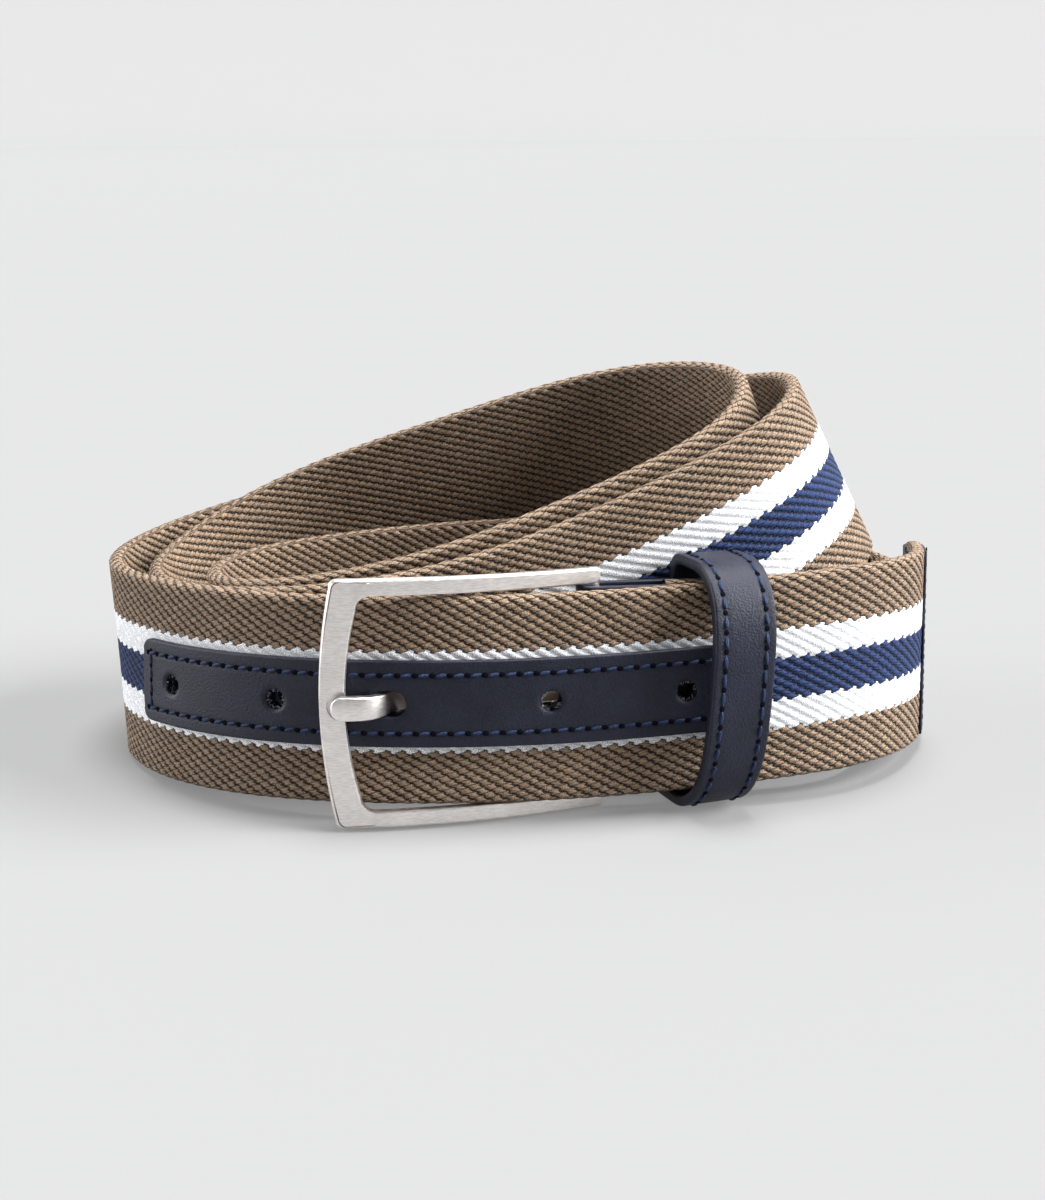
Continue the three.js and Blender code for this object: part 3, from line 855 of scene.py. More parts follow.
def hole_cutters():
    """One object with a cylinder for each hole, and a rounded slot for the buckled one."""
    points = []
    faces = []
    for index in range(HOLE_COUNT):
        start = len(points)
        if index == BUCKLED_HOLE:
            angles = np.linspace(0, 2 * math.pi, HOLE_SIDES, endpoint=False)
            middle = (SLOT_FROM + SLOT_TO) / 2
            straight = (SLOT_TO - SLOT_FROM) / 2 - SLOT_HALF
            run = middle + np.sign(np.cos(angles)) * straight + SLOT_HALF * np.cos(angles)
            high = SLOT_HALF * np.sin(angles)
            for off in (-CUT_REACH, CUT_REACH):
                points.extend(STRAP.points(run, high, np.full(HOLE_SIDES, off)))
        else:
            middle, _, _, out = STRAP.at(HOLE_FIRST + HOLE_STEP * index)
            points.extend(rod_points(middle[0], out[0], HOLE_RADIUS, CUT_REACH, HOLE_SIDES))
        faces.extend(tuple(start + i for i in face) for face in ring_faces(2, HOLE_SIDES))
    return closed_object("hole_cutters", points, faces)


def soft_section(width, thick, radius, across):
    """A flat band's section with rounded edges: pairs of height and offset, counted round it."""
    half, side = width / 2, thick / 2
    angles = np.radians([15, 45, 75])
    points = [(h, side) for h in np.linspace(half - radius, -half + radius, across)]
    for corner, face in ((angles, 1), (angles[::-1], -1)):
        for a in corner:
            off = side - radius + radius * math.cos(a)
            points.append((-half + radius - radius * math.sin(a), face * off))
    points = np.array(points)
    return np.concatenate([points, -points])


def hole_distance(run, high):
    """Distance from places on the strap to the rim of the nearest hole."""
    nearest = np.full(run.shape, 1e3)
    for index in range(HOLE_COUNT):
        if index == BUCKLED_HOLE:
            low, top = SLOT_FROM + SLOT_HALF, SLOT_TO - SLOT_HALF
            gap = np.hypot(run - np.clip(run, low, top), high) - SLOT_HALF
        else:
            gap = np.hypot(run - HOLE_FIRST - HOLE_STEP * index, high) - HOLE_RADIUS
        nearest = np.minimum(nearest, gap)
    return nearest


# The cut yarn ends in the holes: how many, their size in metres, and the ranges of their lean out of the
# hole, their turn round it and their distance from the strap's middle in millimetres
FRAY_TINT = (0.42, 0.41, 0.42)
FRAY_COUNT = 46
FRAY_SIZE = (0.001, 0.00009, 0.00009)
FRAY_LEAN = (-0.1, 0.8)
FRAY_TURN = (-0.7, 0.7)
FRAY_OFF = (1.2, 2.8)


def hole_fray():
    """Cut ends of yarn that stand into the punched holes."""
    chance = np.random.default_rng(7)
    places, headings, facings = [], [], []
    for index in range(HOLE_COUNT):
        if index == BUCKLED_HOLE:
            continue
        middle, along, up, out = (track[0] for track in STRAP.at(HOLE_FIRST + HOLE_STEP * index))
        for angle in chance.uniform(0, 2 * math.pi, FRAY_COUNT):
            rim = along * math.cos(angle) + up * math.sin(angle)
            around = np.cross(out, rim)
            heading = unit(-rim + out * chance.uniform(*FRAY_LEAN) + around * chance.uniform(*FRAY_TURN))
            places.append(middle + rim * (HOLE_RADIUS - 0.1) + out * chance.uniform(*FRAY_OFF))
            headings.append(heading)
            facings.append(unit(np.cross(heading, around)))
    return lay_stitches("belt_hole_fray", places, headings, facings, FRAY_SIZE, frayed_yarn())


def seam_dip(distance, deep, wide):
    """How far a seam pulls the leather in, at a distance beside it."""
    return deep * np.exp(-((distance / wide) ** 2))


# How finely the leather is made: rows of points across it, and steps along it in millimetres; and the
# radius of the strip's edges in millimetres
STRIP_ROWS = 41
STRIP_STEP = 0.45
STRIP_ROUND = 0.35
BAND_ROWS = 31
BAND_STEP = 0.6
KEEPER_ROWS = 19
KEEPER_RINGS = 150


def hole_strip_object():
    """The leather strip with its punched holes, whose rims are pressed in."""
    section = soft_section(STRIP_WIDTH, LEATHER, STRIP_ROUND, STRIP_ROWS)
    count = len(section)
    run = list(np.arange(STRIP_FROM, STRIP_TO - STRIP_CORNER, STRIP_STEP))
    narrow = [0.0] * len(run)
    for angle in np.radians(np.linspace(0, 88, 9)):
        run.append(STRIP_TO - STRIP_CORNER + STRIP_CORNER * math.sin(angle))
        narrow.append(STRIP_CORNER * (1 - math.cos(angle)))
    rings = len(run)
    run = np.repeat(np.array(run), count)
    shrink = 1 - np.repeat(np.array(narrow), count) / (STRIP_WIDTH / 2)
    high = np.tile(section[:, 0], rings) * shrink
    off = np.tile(section[:, 1], rings)
    pressed = RIM_DEEP * np.clip(1 - hole_distance(run, high) / RIM_WIDE, 0, 1) ** 2
    seam = seam_dip(np.abs(high) - (STRIP_WIDTH / 2 - SEAM_FROM_EDGE), *SEAM_SIZE)
    points = STRAP.points(run, high, off + LEATHER_OFFSET - (pressed + seam) * (off > 0))
    made = closed_object("belt_hole_strip", points, ring_faces(rings, count), [leather()])
    combine(made, hole_cutters(), "DIFFERENCE")
    return made


def folded_band(name, fold_at, length, width, thick, offset):
    """A leather band folded over an end of the strap, pressed in a little along its seams."""
    towards = 1 if fold_at < STRAP.length / 2 else -1
    section = soft_section(width, thick, thick / 4, BAND_ROWS)
    count = len(section)
    middle, along, up, out = (track[0] for track in STRAP.at(fold_at))
    rings = []
    legs = np.append(np.arange(length, 0, -BAND_STEP), 0)
    for leg, side in [(legs, 1), (legs[::-1], -1)]:
        if side == -1:
            for angle in np.linspace(0, math.pi, 15)[1:-1]:
                radius = offset + section[:, 1]
                ring = middle + up * section[:, :1]
                ring = ring + out * (radius * math.cos(angle))[:, None]
                rings.append(ring - along * (towards * radius * math.sin(angle))[:, None])
        for run in leg:
            seam = seam_dip(run - length + SEAM_FROM_END, *SEAM_SIZE)
            off = side * (offset + section[:, 1] - seam * (section[:, 1] > 0))
            rings.append(STRAP.points(np.full(count, fold_at + towards * run), section[:, 0], off))
    return closed_object(name, np.concatenate(rings), ring_faces(len(rings), count), [leather()])


def keeper_points(angle, across, inset):
    """Points of the keeper's loop in the route's frame."""
    front = np.cos(angle) >= 0

    def pick(key):
        return np.where(front, KEEPER_FRONT[key], KEEPER_BACK[key])

    def squared(value, square):
        return np.sign(value) * np.abs(value) ** (2 / square)

    high = (KEEPER_HEIGHT / 2 - inset) * squared(np.sin(angle), pick("square_high"))
    off = (pick("depth") - pick("splay") * across - inset) * squared(np.cos(angle), pick("square_deep"))
    along = np.array([math.cos(KEEPER_TURN), math.sin(KEEPER_TURN), 0])
    out = np.array([math.sin(KEEPER_TURN), -math.cos(KEEPER_TURN), 0])
    upright = np.array([0, 0, 1.0])
    cos, sin = math.cos(KEEPER_LEAN), math.sin(KEEPER_LEAN)
    return (
        KEEPER_MIDDLE
        + (across + KEEPER_SKEW * high)[:, None] * along
        + (off * cos + high * sin)[:, None] * out
        + (high * cos - off * sin)[:, None] * upright
    )


def keeper_angles(count):
    """Angles round the keeper that lie at even distances on its loop."""
    fine = np.linspace(0, 2 * math.pi, 4001)
    line = keeper_points(fine, np.zeros(4001), np.zeros(4001))
    length = chord_knots(line)
    return np.interp(np.linspace(0, length[-1], count, endpoint=False), length, fine), length[-1]


def keeper_object():
    """The leather keeper, with cut edges of their own finish."""
    section = soft_section(KEEPER_WIDTH, KEEPER_THICK, KEEPER_ROUND, KEEPER_ROWS)
    count = len(section)
    angles, _ = keeper_angles(KEEPER_RINGS)
    angle = np.repeat(angles, count)
    across = np.tile(section[:, 0], len(angles))
    layer = np.tile(section[:, 1], len(angles))
    from_seam = np.abs(across) - (KEEPER_WIDTH / 2 - KEEPER_SEAM_FROM_EDGE)
    seam = seam_dip(from_seam, *KEEPER_SEAM_SIZE) * (layer > 0)
    points = keeper_points(angle, across, KEEPER_THICK / 2 - layer + seam)
    faces = ring_faces(len(angles), count, loop=True)
    on_edge = np.abs(section[:, 0]) > KEEPER_WIDTH / 2 - KEEPER_CUT_EDGE
    slots = [int(on_edge[face[0] % count] and on_edge[face[3] % count]) for face in faces]
    return closed_object("belt_keeper", points, faces, [leather(), cut_edge()], slots)


def buckle_points(x, depth, high):
    """Points of the buckle in the route's frame."""
    cos, sin = math.cos(BUCKLE_LEAN), math.sin(BUCKLE_LEAN)
    return np.stack([x, depth * cos + high * sin, BUCKLE_Z - depth * sin + high * cos], axis=-1)


def arch_depth(x, high):
    """How far back the frame's middle lies: its arms curve back, the lower one less."""
    return BAR_DEPTH + np.maximum(0, x - BAR_MIDDLE) ** 2 / np.where(high < 0, ARCH_LOW, ARCH)


def frame_outline():
    """The upper half of the frame as pairs of an outer and an inner point, from the arm's end."""
    outer_left = BAR_MIDDLE + BAR_BOW - BAR_WIDTH / 2
    start = BAR_MIDDLE + BAR_BOW + BAR_WIDTH / 2 + INNER_CORNER
    outer = []
    inner = []
    middle = (ARM_OUTER[1] + ARM_INNER[1]) / 2
    reach = (ARM_OUTER[1] - ARM_INNER[1]) / 2
    for angle in np.radians([88, 66, 44, 22]):
        x = ARM_END + END_CORNER * math.sin(angle)
        half = reach - END_CORNER * (1 - math.cos(angle))
        outer.append((x, middle + half))
        inner.append((x, middle - half))
    for x in np.linspace(ARM_END, start, 36):
        part = (ARM_END - x) / (ARM_END - start)
        outer.append((x, ARM_OUTER[1] + part * (ARM_OUTER[0] - ARM_OUTER[1])))
        inner.append((x, ARM_INNER[1] + part * (ARM_INNER[0] - ARM_INNER[1])))
    for angle in np.linspace(0, math.pi / 2, 11)[1:]:
        sin, drop = math.sin(angle), 1 - math.cos(angle)
        outer.append((outer_left + OUTER_CORNER - OUTER_CORNER * sin, ARM_OUTER[0] - OUTER_CORNER * drop))
        inner.append((start - INNER_CORNER * sin, ARM_INNER[0] - INNER_CORNER * drop))
    outer_corner, inner_corner = outer[-1], inner[-1]
    for left in np.linspace(1, 0, 13)[1:]:
        bow = BAR_BOW * (1 - left**2)
        outer.append((outer_corner[0] - bow, outer_corner[1] * left))
        inner.append((inner_corner[0] - bow, inner_corner[1] * left))
    return np.array(outer), np.array(inner)


def frame_section(width, bevel, groove):
    """The bar's section: flat in front, a bevel along the outer edge and a groove beside the bevel."""
    half, side = width / 2, FRAME_THICK / 2
    front = [
        (-half + 0.3, -side),
        (-bevel / 2, -side - 0.03),
        (half - bevel - 0.3, -side),
        (half - bevel - 0.14, -side + groove),
        (half - bevel, -side),
    ]
    outer_edge = [
        (half - 0.1, -side + bevel / 2),
        (half, -side + bevel / 2 + 0.2),
        (half, side - 0.5),
        (half - 0.15, side - 0.15),
    ]
    back = [(half - 0.5, side), (-half + 0.5, side)]
    inner_edge = [
        (-half + 0.15, side - 0.15),
        (-half, side - 0.5),
        (-half, -side + 0.36),
        (-half + 0.09, -side + 0.09),
    ]
    return np.array(front + outer_edge + back + inner_edge)


def edge_finish(x, high):
    """The width of the outer bevel and the depth of its groove at a place on the frame's outline."""
    on_bar = np.clip((BAR_MIDDLE + 5 - x) / 4, 0, 1)
    to_corner = abs(high) / ARM_OUTER[0]
    bevel = ARM_BEVEL - on_bar * (ARM_BEVEL - BAR_BEVEL - CORNER_BEVEL * to_corner)
    return bevel, GROOVE * on_bar * to_corner**2


def notch_cutter():
    """The space of the prong's tip in the bar."""
    angles = np.linspace(-math.pi / 2, math.pi / 2, 13)
    outline = [(NOTCH_LEFT + NOTCH_HALF * (1 - math.cos(a)), NOTCH_HALF * math.sin(a)) for a in angles]
    outline = np.array(outline + [(NOTCH_RIGHT, NOTCH_HALF), (NOTCH_RIGHT, -NOTCH_HALF)])
    front = BAR_DEPTH - FRAME_THICK / 2
    rings = [
        buckle_points(outline[:, 0], np.full(len(outline), depth), outline[:, 1])
        for depth in (front - 2.4, front + NOTCH_DEEP)
    ]
    return closed_object("notch", np.concatenate(rings), ring_faces(2, len(outline)))


def buckle_frame_object():
    """The buckle's frame and pivot, with a notch for the prong's tip."""
    outer, inner = frame_outline()
    outer = np.concatenate([outer, outer[-2::-1] * [1, -1]])
    inner = np.concatenate([inner, inner[-2::-1] * [1, -1]])
    rings = []
    for out_point, in_point in zip(outer, inner):
        run = out_point - in_point
        width = np.linalg.norm(run)
        section = frame_section(width, *edge_finish(*out_point))
        place = (out_point + in_point) / 2 + section[:, :1] * run / width
        depth = arch_depth(place[:, 0], place[:, 1]) + section[:, 1]
        rings.append(buckle_points(place[:, 0], depth, place[:, 1]))
    faces = ring_faces(len(rings), len(rings[0]))
    body = closed_object("belt_buckle_frame", np.concatenate(rings), faces, [metal()])

    axis = np.array([0, math.sin(BUCKLE_LEAN), math.cos(BUCKLE_LEAN)])
    middle = buckle_points(np.array([PIVOT_X]), np.array([PIVOT_DEPTH]), np.array([0.0]))[0]
    rod = rod_points(middle, axis, PIVOT_RADIUS, PIVOT_HALF, PIVOT_SIDES)
    combine(body, closed_object("pivot", rod, ring_faces(2, PIVOT_SIDES), [metal()]), "UNION")
    combine(body, notch_cutter(), "DIFFERENCE")
    body.data.set_sharp_from_angle(angle=math.radians(15))
    return body


def prong_section(high, thick):
    """A flat bar's section with rounded edges: height and offset from its middle."""
    radius = min(high, thick) * PRONG_EDGE
    corners = []
    for turn, (h, t) in enumerate([(1, 1), (-1, 1), (-1, -1), (1, -1)]):
        for angle in np.radians([8, 31, 59, 82]) + turn * math.pi / 2:
            corners.append(
                (
                    h * (high / 2 - radius) + radius * math.cos(angle),
                    t * (thick / 2 - radius) + radius * math.sin(angle),
                )
            )
    return np.array(corners)


def prong_ring():
    """The prong's ring round the pivot."""
    low = -RING_HALF
    lower = np.array(
        [
            (RING_INNER, low + RING_EDGE),
            (RING_INNER + RING_EDGE, low),
            (RING_OUTER - RING_EDGE, low),
            (RING_OUTER, low + RING_EDGE),
        ]
    )
    profile = np.concatenate([lower, lower[::-1] * [1, -1]])
    loops = []
    for angle in np.linspace(0, 2 * math.pi, 40, endpoint=False):
        x = PIVOT_X + profile[:, 0] * math.cos(angle)
        depth = PIVOT_DEPTH + profile[:, 0] * math.sin(angle)
        loops.append(buckle_points(x, depth, profile[:, 1]))
    faces = ring_faces(len(loops), len(profile), loop=True)
    return closed_object("prong_ring", np.concatenate(loops), faces, [metal()])


def prong_object():
    """The prong: a ring round the pivot, and a shank that lies on the bar and ends in a half circle."""
    rows = np.array(list(PRONG.values()), float)
    knots = chord_knots(rows[:, :2])
    length = knots[-1]
    round_end = PRONG_ROUND * (1 - np.sin(np.linspace(0, math.pi / 2, 16)))
    places = np.concatenate([np.linspace(0, length - PRONG_ROUND, 110)[:-1], length - round_end])
    curve = natural_spline(knots, rows)
    sampled = curve(places)
    left = np.clip(length - places, 0.02, PRONG_ROUND)
    sampled[:, 3] *= np.sqrt(1 - (1 - left / PRONG_ROUND) ** 2)
    sampled[:, 2] -= PRONG_THIN_BY * np.clip(1 - left / PRONG_THIN_OVER, 0, 1) ** 2
    ahead = curve(np.minimum(places + 0.05, length))
    behind = curve(np.maximum(places - 0.05, 0))
    run = unit(ahead[:, :2] - behind[:, :2])
    drop = np.interp(sampled[:, 0], [PRONG["tip"][0], PRONG["behind the strap"][0]], [PRONG_DROP, 0])
    rings = []
    for (x, depth, thick, high), (run_x, run_depth), low in zip(sampled, run, drop):
        section = prong_section(high, thick)
        x = x - run_depth * section[:, 1]
        depth = depth + run_x * section[:, 1]
        rings.append(buckle_points(x, depth, section[:, 0] - low))
    faces = ring_faces(len(rings), len(rings[0]))
    made = closed_object("belt_prong", np.concatenate(rings), faces, [metal()])
    combine(made, prong_ring(), "UNION")
    made.data.set_sharp_from_angle(angle=math.radians(50))
    return made


def stitch_tree():
    """A tree that lays a stitch on each point, along its heading and on its facing."""
    tree = bpy.data.node_groups.new("lay_stitches", "GeometryNodeTree")
    face = tree.interface
    face.new_socket("Geometry", in_out="INPUT", socket_type="NodeSocketGeometry")
    for name, default in (("Length", 0.002), ("Width", 0.0007), ("Rise", 0.0005)):
        socket = face.new_socket(name, in_out="INPUT", socket_type="NodeSocketFloat")
        socket.default_value = default
    face.new_socket("Thread", in_out="INPUT", socket_type="NodeSocketMaterial")
    face.new_socket("Geometry", in_out="OUTPUT", socket_type="NodeSocketGeometry")
    nodes = Nodes(tree)
    given = nodes.add("NodeGroupInput")
    ball = nodes.add("GeometryNodeMeshUVSphere", {"Segments": 12, "Rings": 7, "Radius": 0.5})
    size = nodes.add(
        "ShaderNodeCombineXYZ",
        {"X": given.outputs["Length"], "Y": given.outputs["Width"], "Z": given.outputs["Rise"]},
    )
    heading = nodes.add("GeometryNodeInputNamedAttribute", {"Name": "heading"}, data_type="FLOAT_VECTOR")
    facing = nodes.add("GeometryNodeInputNamedAttribute", {"Name": "facing"}, data_type="FLOAT_VECTOR")
    turned = nodes.add("FunctionNodeAxesToRotation", primary_axis="Z", secondary_axis="X")
    nodes.feed(turned.inputs[0], facing.outputs["Attribute"])
    nodes.feed(turned.inputs[1], heading.outputs["Attribute"])
    laid = nodes.add(
        "GeometryNodeInstanceOnPoints",
        {
            "Points": given.outputs["Geometry"],
            "Instance": ball.outputs["Mesh"],
            "Rotation": turned.outputs[0],
            "Scale": size.outputs[0],
        },
    )
    real = nodes.add("GeometryNodeRealizeInstances", {"Geometry": laid.outputs["Instances"]})
    smooth = nodes.add("GeometryNodeSetShadeSmooth", {"Geometry": real.outputs["Geometry"]})
    dressed = nodes.add(
        "GeometryNodeSetMaterial",
        {"Geometry": smooth.outputs["Geometry"], "Material": given.outputs["Thread"]},
    )
    result = nodes.add("NodeGroupOutput")
    nodes.feed(result.inputs["Geometry"], dressed.outputs["Geometry"])
    return tree


def lay_stitches(name, places, heading, facing, sizes, material):
    """An object with a stitch at each place of the route's frame; sizes are its length, width and rise."""
    mesh = bpy.data.meshes.new(name)
    mesh.from_pydata([tuple(p) for p in in_row_frame(places)], [], [])
    for key, vectors in (("heading", heading), ("facing", facing)):
        layer = mesh.attributes.new(key, "FLOAT_VECTOR", "POINT")
        layer.data.foreach_set("vector", np.asarray(vectors, np.float32).ravel())
    made = bpy.data.objects.new(name, mesh)
    bpy.context.scene.collection.objects.link(made)
    tree = bpy.data.node_groups.get("lay_stitches") or stitch_tree()
    modifier = made.modifiers.new("stitches", "NODES")
    modifier.node_group = tree
    keys = {item.name: item.identifier for item in tree.interface.items_tree if item.in_out == "INPUT"}
    for key, value in zip(("Length", "Width", "Rise", "Thread"), (*sizes, material)):
        modifier[keys[key]] = value
    apply_modifiers(made)
    return made


# Sizes in metres of a stitch's thread and of the dark patch of painted shade that stands for a needle hole,
# how far a stitch leans over from its seam, and how deep it lies in the leather in millimetres
THREAD_SIZE = (0.00078, 0.0007)
KEEPER_THREAD_SIZE = (0.0008, 0.0007)
NEEDLE_HOLE_SHADE = (0.0012, 0.001, 0.0003)
STITCH_LEAN = 0.2
STITCH_SUNK = 0.02
TIP_STITCH_SUNK = 0.27


# Where the seams begin and end, in millimetres: from the strip's start, before its far end, beside its
# corners on the cross seam, and the half height of the folded leathers' seams
STRIP_SEAM_START = 1.5
STRIP_SEAM_STOP = 0.5
CROSS_SEAM_STOP = 1.2
FOLD_SEAM_HALF = 16.8


def seam_row(start, stop, pitch):
    """Even places from start to stop, about pitch apart."""
    count = max(2, round(abs(stop - start) / pitch) + 1)
    return np.linspace(start, stop, count)


def stitches_on(name, run, high, off, turned, sunk=STITCH_SUNK):
    """Stitches, and dark patches of painted shade for the needle holes, at places on the strap's leather;
    turned is 1 where they run up it.
    """
    settings = bpy.context.scene.belt_leather
    run, high, off, turned = (np.asarray(a, float) for a in (run, high, off, turned))
    middle, along, up, out = STRAP.at(run)
    facing = out * np.sign(off)[:, None]
    heading = np.where(turned[:, None] > 0, up, along)
    leaning = unit(heading + STITCH_LEAN * np.cross(facing, heading))
    on = middle + up * high[:, None] + out * off[:, None]
    threads = lay_stitches(
        name, on - facing * sunk, leaning, facing, (settings.stitch, *THREAD_SIZE), thread()
    )
    # The needle holes between the stitches are dark patches of painted shade
    between = on + heading * (settings.pitch / MM / 2) - facing * STITCH_SUNK
    holes = lay_stitches(name + "_holes", between, heading, facing, NEEDLE_HOLE_SHADE, shade_of_needle_hole())
    return threads, holes


class BELT_OT_webbing(Operator):
    """Weave the striped strap, rib by rib"""

    bl_idname = "belt.webbing"
    bl_label = "Webbing"

    def execute(self, context):
        made = webbing_object()
        combine(made, hole_cutters(), "DIFFERENCE")
        settle(made, "webbing")
        return {"FINISHED"}


class BELT_OT_hole_strip(Operator):
    """Lay the leather strip with the punched holes"""

    bl_idname = "belt.hole_strip"
    bl_label = "Hole strip"

    def execute(self, context):
        settle(hole_strip_object(), "hole_strip")
        settle(hole_fray(), None)
        return {"FINISHED"}


class BELT_OT_end_leathers(Operator):
    """Fold the leather over the tip and round the buckle's pivot"""

    bl_idname = "belt.end_leathers"
    bl_label = "End leathers"

    def execute(self, context):
        cap = folded_band(
            "belt_tip_cap", 0.0, TIP_CAP_LENGTH, TIP_CAP_WIDTH, TIP_CAP_THICK, TIP_CAP_OFFSET
        )
        settle(cap, "tip_cap")
        tab = folded_band(
            "belt_buckle_tab", PIVOT_DISTANCE, TAB_LENGTH, TAB_WIDTH, LEATHER, LEATHER_OFFSET
        )
        middle, along, up, out = (track[0] for track in STRAP.at(PIVOT_DISTANCE))
        corners = [
            middle + along * a + up * b * RING_SLOT_HALF + out * c * CUT_REACH
            for a in (-RING_SLOT_REACH, RING_SLOT_REACH)
            for b, c in ((-1, -1), (1, -1), (1, 1), (-1, 1))
        ]
        combine(tab, closed_object("ring_slot", corners, ring_faces(2, 4)), "DIFFERENCE")
        settle(tab, "buckle_tab")
        return {"FINISHED"}


class BELT_OT_keeper(Operator):
    """Bend the leather keeper round the strap"""

    bl_idname = "belt.keeper"
    bl_label = "Keeper"

    def execute(self, context):
        settle(keeper_object(), "keeper")
        return {"FINISHED"}


class BELT_OT_buckle(Operator):
    """Make the buckle's frame and prong"""

    bl_idname = "belt.buckle"
    bl_label = "Buckle"

    def execute(self, context):
        settle(buckle_frame_object(), "buckle_frame")
        settle(prong_object(), "prong")
        return {"FINISHED"}


class BELT_OT_stitches(Operator):
    """Sew the leather down"""

    bl_idname = "belt.stitches"
    bl_label = "Stitches"

    def execute(self, context):
        pitch = context.scene.belt_leather.pitch / MM
        face = LEATHER_OFFSET + LEATHER / 2
        inset = STRIP_WIDTH / 2 - SEAM_FROM_EDGE
        last = STRIP_TO - SEAM_FROM_EDGE
        row = seam_row(STRIP_FROM + STRIP_SEAM_START, last - STRIP_SEAM_STOP, pitch)
        cross = seam_row(-inset + CROSS_SEAM_STOP, inset - CROSS_SEAM_STOP, pitch)
        run = np.concatenate([row, row, np.full(len(cross), last)])
        high = np.concatenate([np.full(len(row), inset), np.full(len(row), -inset), cross])
        turned = np.concatenate([np.zeros(2 * len(row)), np.ones(len(cross))])
        pieces = [*stitches_on("belt_strip_stitches", run, high, np.full(len(run), face), turned)]

        cross = seam_row(-FOLD_SEAM_HALF, FOLD_SEAM_HALF, pitch)
        high = np.concatenate([cross, cross])
        side = np.repeat([1, -1], len(cross))
        tip_face = TIP_CAP_OFFSET + TIP_CAP_THICK / 2
        for name, seam_at, on_face, sunk in (
            ("belt_tip_stitches", TIP_CAP_LENGTH - SEAM_FROM_END, tip_face, TIP_STITCH_SUNK),
            ("belt_tab_stitches", PIVOT_DISTANCE - TAB_LENGTH + SEAM_FROM_END, face, STITCH_SUNK),
        ):
            run = np.full(len(high), seam_at)
            pieces += stitches_on(name, run, high, side * on_face, np.ones(len(high)), sunk)
        for made in (*pieces, *keeper_stitches()):
            settle(made, None)
        return {"FINISHED"}


# The keeper's stitches, in millimetres: their pitch, and how deep they lie, on the floor deeper. The
# floor's part of the loop lies under a sine of its angle. They are longer than the others by a factor
KEEPER_PITCH = 3.5
KEEPER_SUNK = 0.05
KEEPER_FLOOR_SUNK = 0.42
KEEPER_FLOOR_FROM = -0.95
KEEPER_LONGER = 1.3


def keeper_stitches():
    """Two rows of stitches round the keeper, pressed in where it lies on the floor."""
    settings = bpy.context.scene.belt_leather
    _, length = keeper_angles(10)
    angles, _ = keeper_angles(2 * round(length / KEEPER_PITCH))
    made = []
    for kind, chosen, sizes, material in (
        ("", angles[0::2], (settings.stitch * KEEPER_LONGER, *KEEPER_THREAD_SIZE), thread()),
        # The needle holes are dark patches of painted shade
        ("_holes", angles[1::2], NEEDLE_HOLE_SHADE, shade_of_needle_hole()),
    ):
        places, headings, facings = [], [], []
        sunk = np.where(np.sin(chosen) < KEEPER_FLOOR_FROM, KEEPER_FLOOR_SUNK, KEEPER_SUNK)
        from_middle = KEEPER_WIDTH / 2 - KEEPER_SEAM_FROM_EDGE
        for across in (-from_middle, from_middle):
            sides = np.full(len(chosen), across)
            here = keeper_points(chosen, sides, sunk)
            places.append(here)
            headings.append(unit(keeper_points(chosen + 0.01, sides, sunk) - here))
            facings.append(unit(here - keeper_points(chosen, sides, sunk + 0.55)))
        places, headings, facings = (np.concatenate(rows) for rows in (places, headings, facings))
        name = "belt_keeper_stitches" + kind
        made.append(lay_stitches(name, places, headings, facings, sizes, material))
    return made


# The pale floor, in metres: half its width, how far it runs to the front and the back, and the height
# of the wall and the radius of the bend behind it
FLOOR_SIDE = 12.0
FLOOR_FRONT = -6.0
FLOOR_BACK = 9.0
WALL_RISE = 9.0
FLOOR_BEND = 3.0


class BELT_OT_stage(Operator):
    """Set up the photo's camera, a pale floor and soft studio light"""

    bl_idname = "belt.stage"
    bl_label = "Stage"

    def execute(self, context):
        settings = context.scene.belt_stage
        place_camera(context.scene)

        flat_to = FLOOR_BACK - FLOOR_BEND
        profile = [(FLOOR_FRONT, 0.0), (flat_to, 0.0)]
        for angle in np.linspace(0, math.pi / 2, 25)[1:]:
            rise = FLOOR_BEND - FLOOR_BEND * math.cos(angle)
            profile.append((flat_to + FLOOR_BEND * math.sin(angle), rise))
        profile.append((FLOOR_BACK, WALL_RISE))
        corners = [(x, y, z) for y, z in profile for x in (-FLOOR_SIDE, FLOOR_SIDE)]
        faces = [(2 * i, 2 * i + 1, 2 * i + 3, 2 * i + 2) for i in range(len(profile) - 1)]
        floor = mesh_object("stage_floor", corners, faces, materials=[floor_material()])

        soft_light("key_light", settings.key, side=4, rise=30, spread=38)
        soft_light("top_light", settings.top, side=-60, rise=81, spread=24)
        soft_light("fill_light", settings.fill, side=186, rise=18, spread=50)

        world = context.scene.world or bpy.data.worlds.new("studio")
        context.scene.world = world
        world.use_nodes = True
        sky = world.node_tree.nodes["Background"]
        sky.inputs["Color"].default_value = (1, 1, 1, 1)
        sky.inputs["Strength"].default_value = settings.sky
        context.scene.view_settings.view_transform = "Standard"
        return {"FINISHED"}


def soft_light(name, strength, side, rise, spread):
    """A wide light far off: side is its angle from the right towards the front, rise its height."""
    data = bpy.data.lights.new(name, "SUN")
    data.energy = strength
    data.angle = math.radians(spread)
    light = bpy.data.objects.new(name, data)
    side, rise = math.radians(side), math.radians(rise)
    towards = Vector((math.cos(rise) * math.cos(side), -math.cos(rise) * math.sin(side), math.sin(rise)))
    light.rotation_euler = towards.to_track_quat("Z", "Y").to_euler()
    bpy.context.scene.collection.objects.link(light)


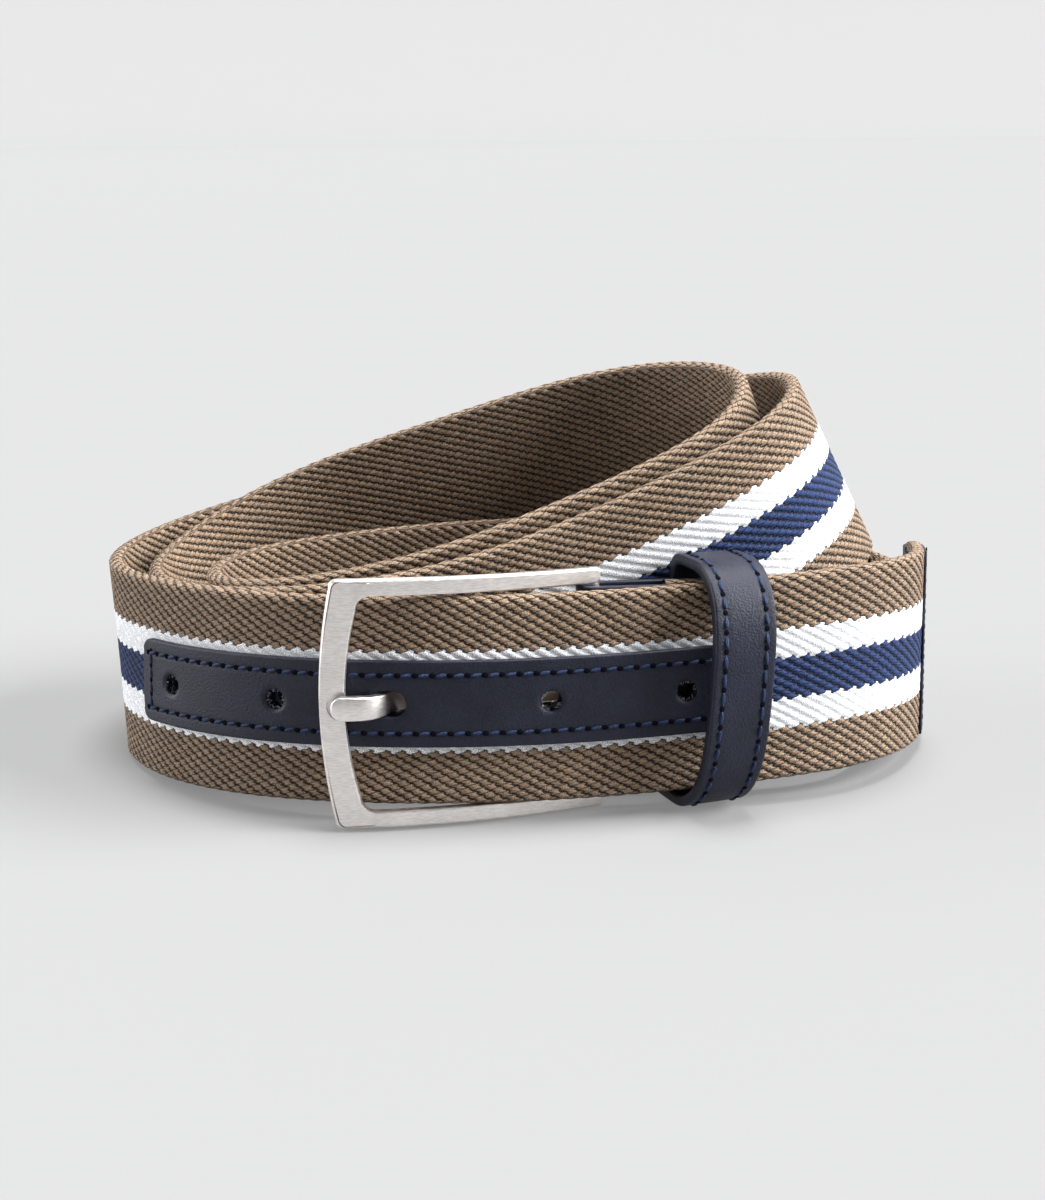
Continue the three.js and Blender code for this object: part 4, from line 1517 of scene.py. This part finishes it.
def place_camera(scene):
    """The photo's camera: level with the belt's middle, looking down a little."""
    back = np.array([0, -math.cos(VIEW_ELEVATION), math.sin(VIEW_ELEVATION)])
    right = np.array([1.0, 0, 0])
    up = np.cross(back, right)
    cos, sin = math.cos(VIEW_ROLL), math.sin(VIEW_ROLL)
    right, up = right * cos + up * sin, up * cos - right * sin
    place = in_row_frame(np.array([0, 0, VIEW_HEIGHT]) + VIEW_DISTANCE * back)
    matrix = Matrix.Identity(4)
    for column, axis in enumerate((right, up, back, place)):
        for row in range(3):
            matrix[row][column] = axis[row]
    data = bpy.data.cameras.new("photo_camera")
    data.lens = VIEW_LENS
    data.sensor_fit = "AUTO"
    data.sensor_width = 36
    data.clip_start = 0.01
    camera = bpy.data.objects.new("photo_camera", data)
    camera.matrix_world = matrix
    scene.collection.objects.link(camera)
    scene.camera = camera


class BELT_PT_panel(Panel):
    """Lists the belt's pieces and settings in the sidebar"""

    bl_idname = "BELT_PT_panel"
    bl_label = "Adjustable Belt"
    bl_space_type = "VIEW_3D"
    bl_region_type = "UI"
    bl_category = "Belt"

    def draw(self, context):
        for key in ("belt_webbing", "belt_leather", "belt_buckle", "belt_stage"):
            group = getattr(context.scene, key)
            box = self.layout.box()
            for name in group.__annotations__:
                box.prop(group, name)
        for operator in OPERATORS:
            self.layout.operator(operator.bl_idname)


GROUPS = {
    "belt_webbing": WebbingSettings,
    "belt_leather": LeatherSettings,
    "belt_buckle": BuckleSettings,
    "belt_stage": StageSettings,
}
OPERATORS = (
    BELT_OT_stage,
    BELT_OT_webbing,
    BELT_OT_hole_strip,
    BELT_OT_end_leathers,
    BELT_OT_keeper,
    BELT_OT_buckle,
    BELT_OT_stitches,
)
CLASSES = (*GROUPS.values(), *OPERATORS, BELT_PT_panel)


def register():
    for made in CLASSES:
        bpy.utils.register_class(made)
    for key, group in GROUPS.items():
        setattr(bpy.types.Scene, key, PointerProperty(type=group))


def unregister():
    for key in GROUPS:
        delattr(bpy.types.Scene, key)
    for made in reversed(CLASSES):
        bpy.utils.unregister_class(made)


def main():
    register()
    bpy.ops.belt.stage()
    bpy.ops.belt.webbing()
    bpy.ops.belt.hole_strip()
    bpy.ops.belt.end_leathers()
    bpy.ops.belt.keeper()
    bpy.ops.belt.buckle()
    bpy.ops.belt.stitches()


if __name__ == "__main__":
    main()
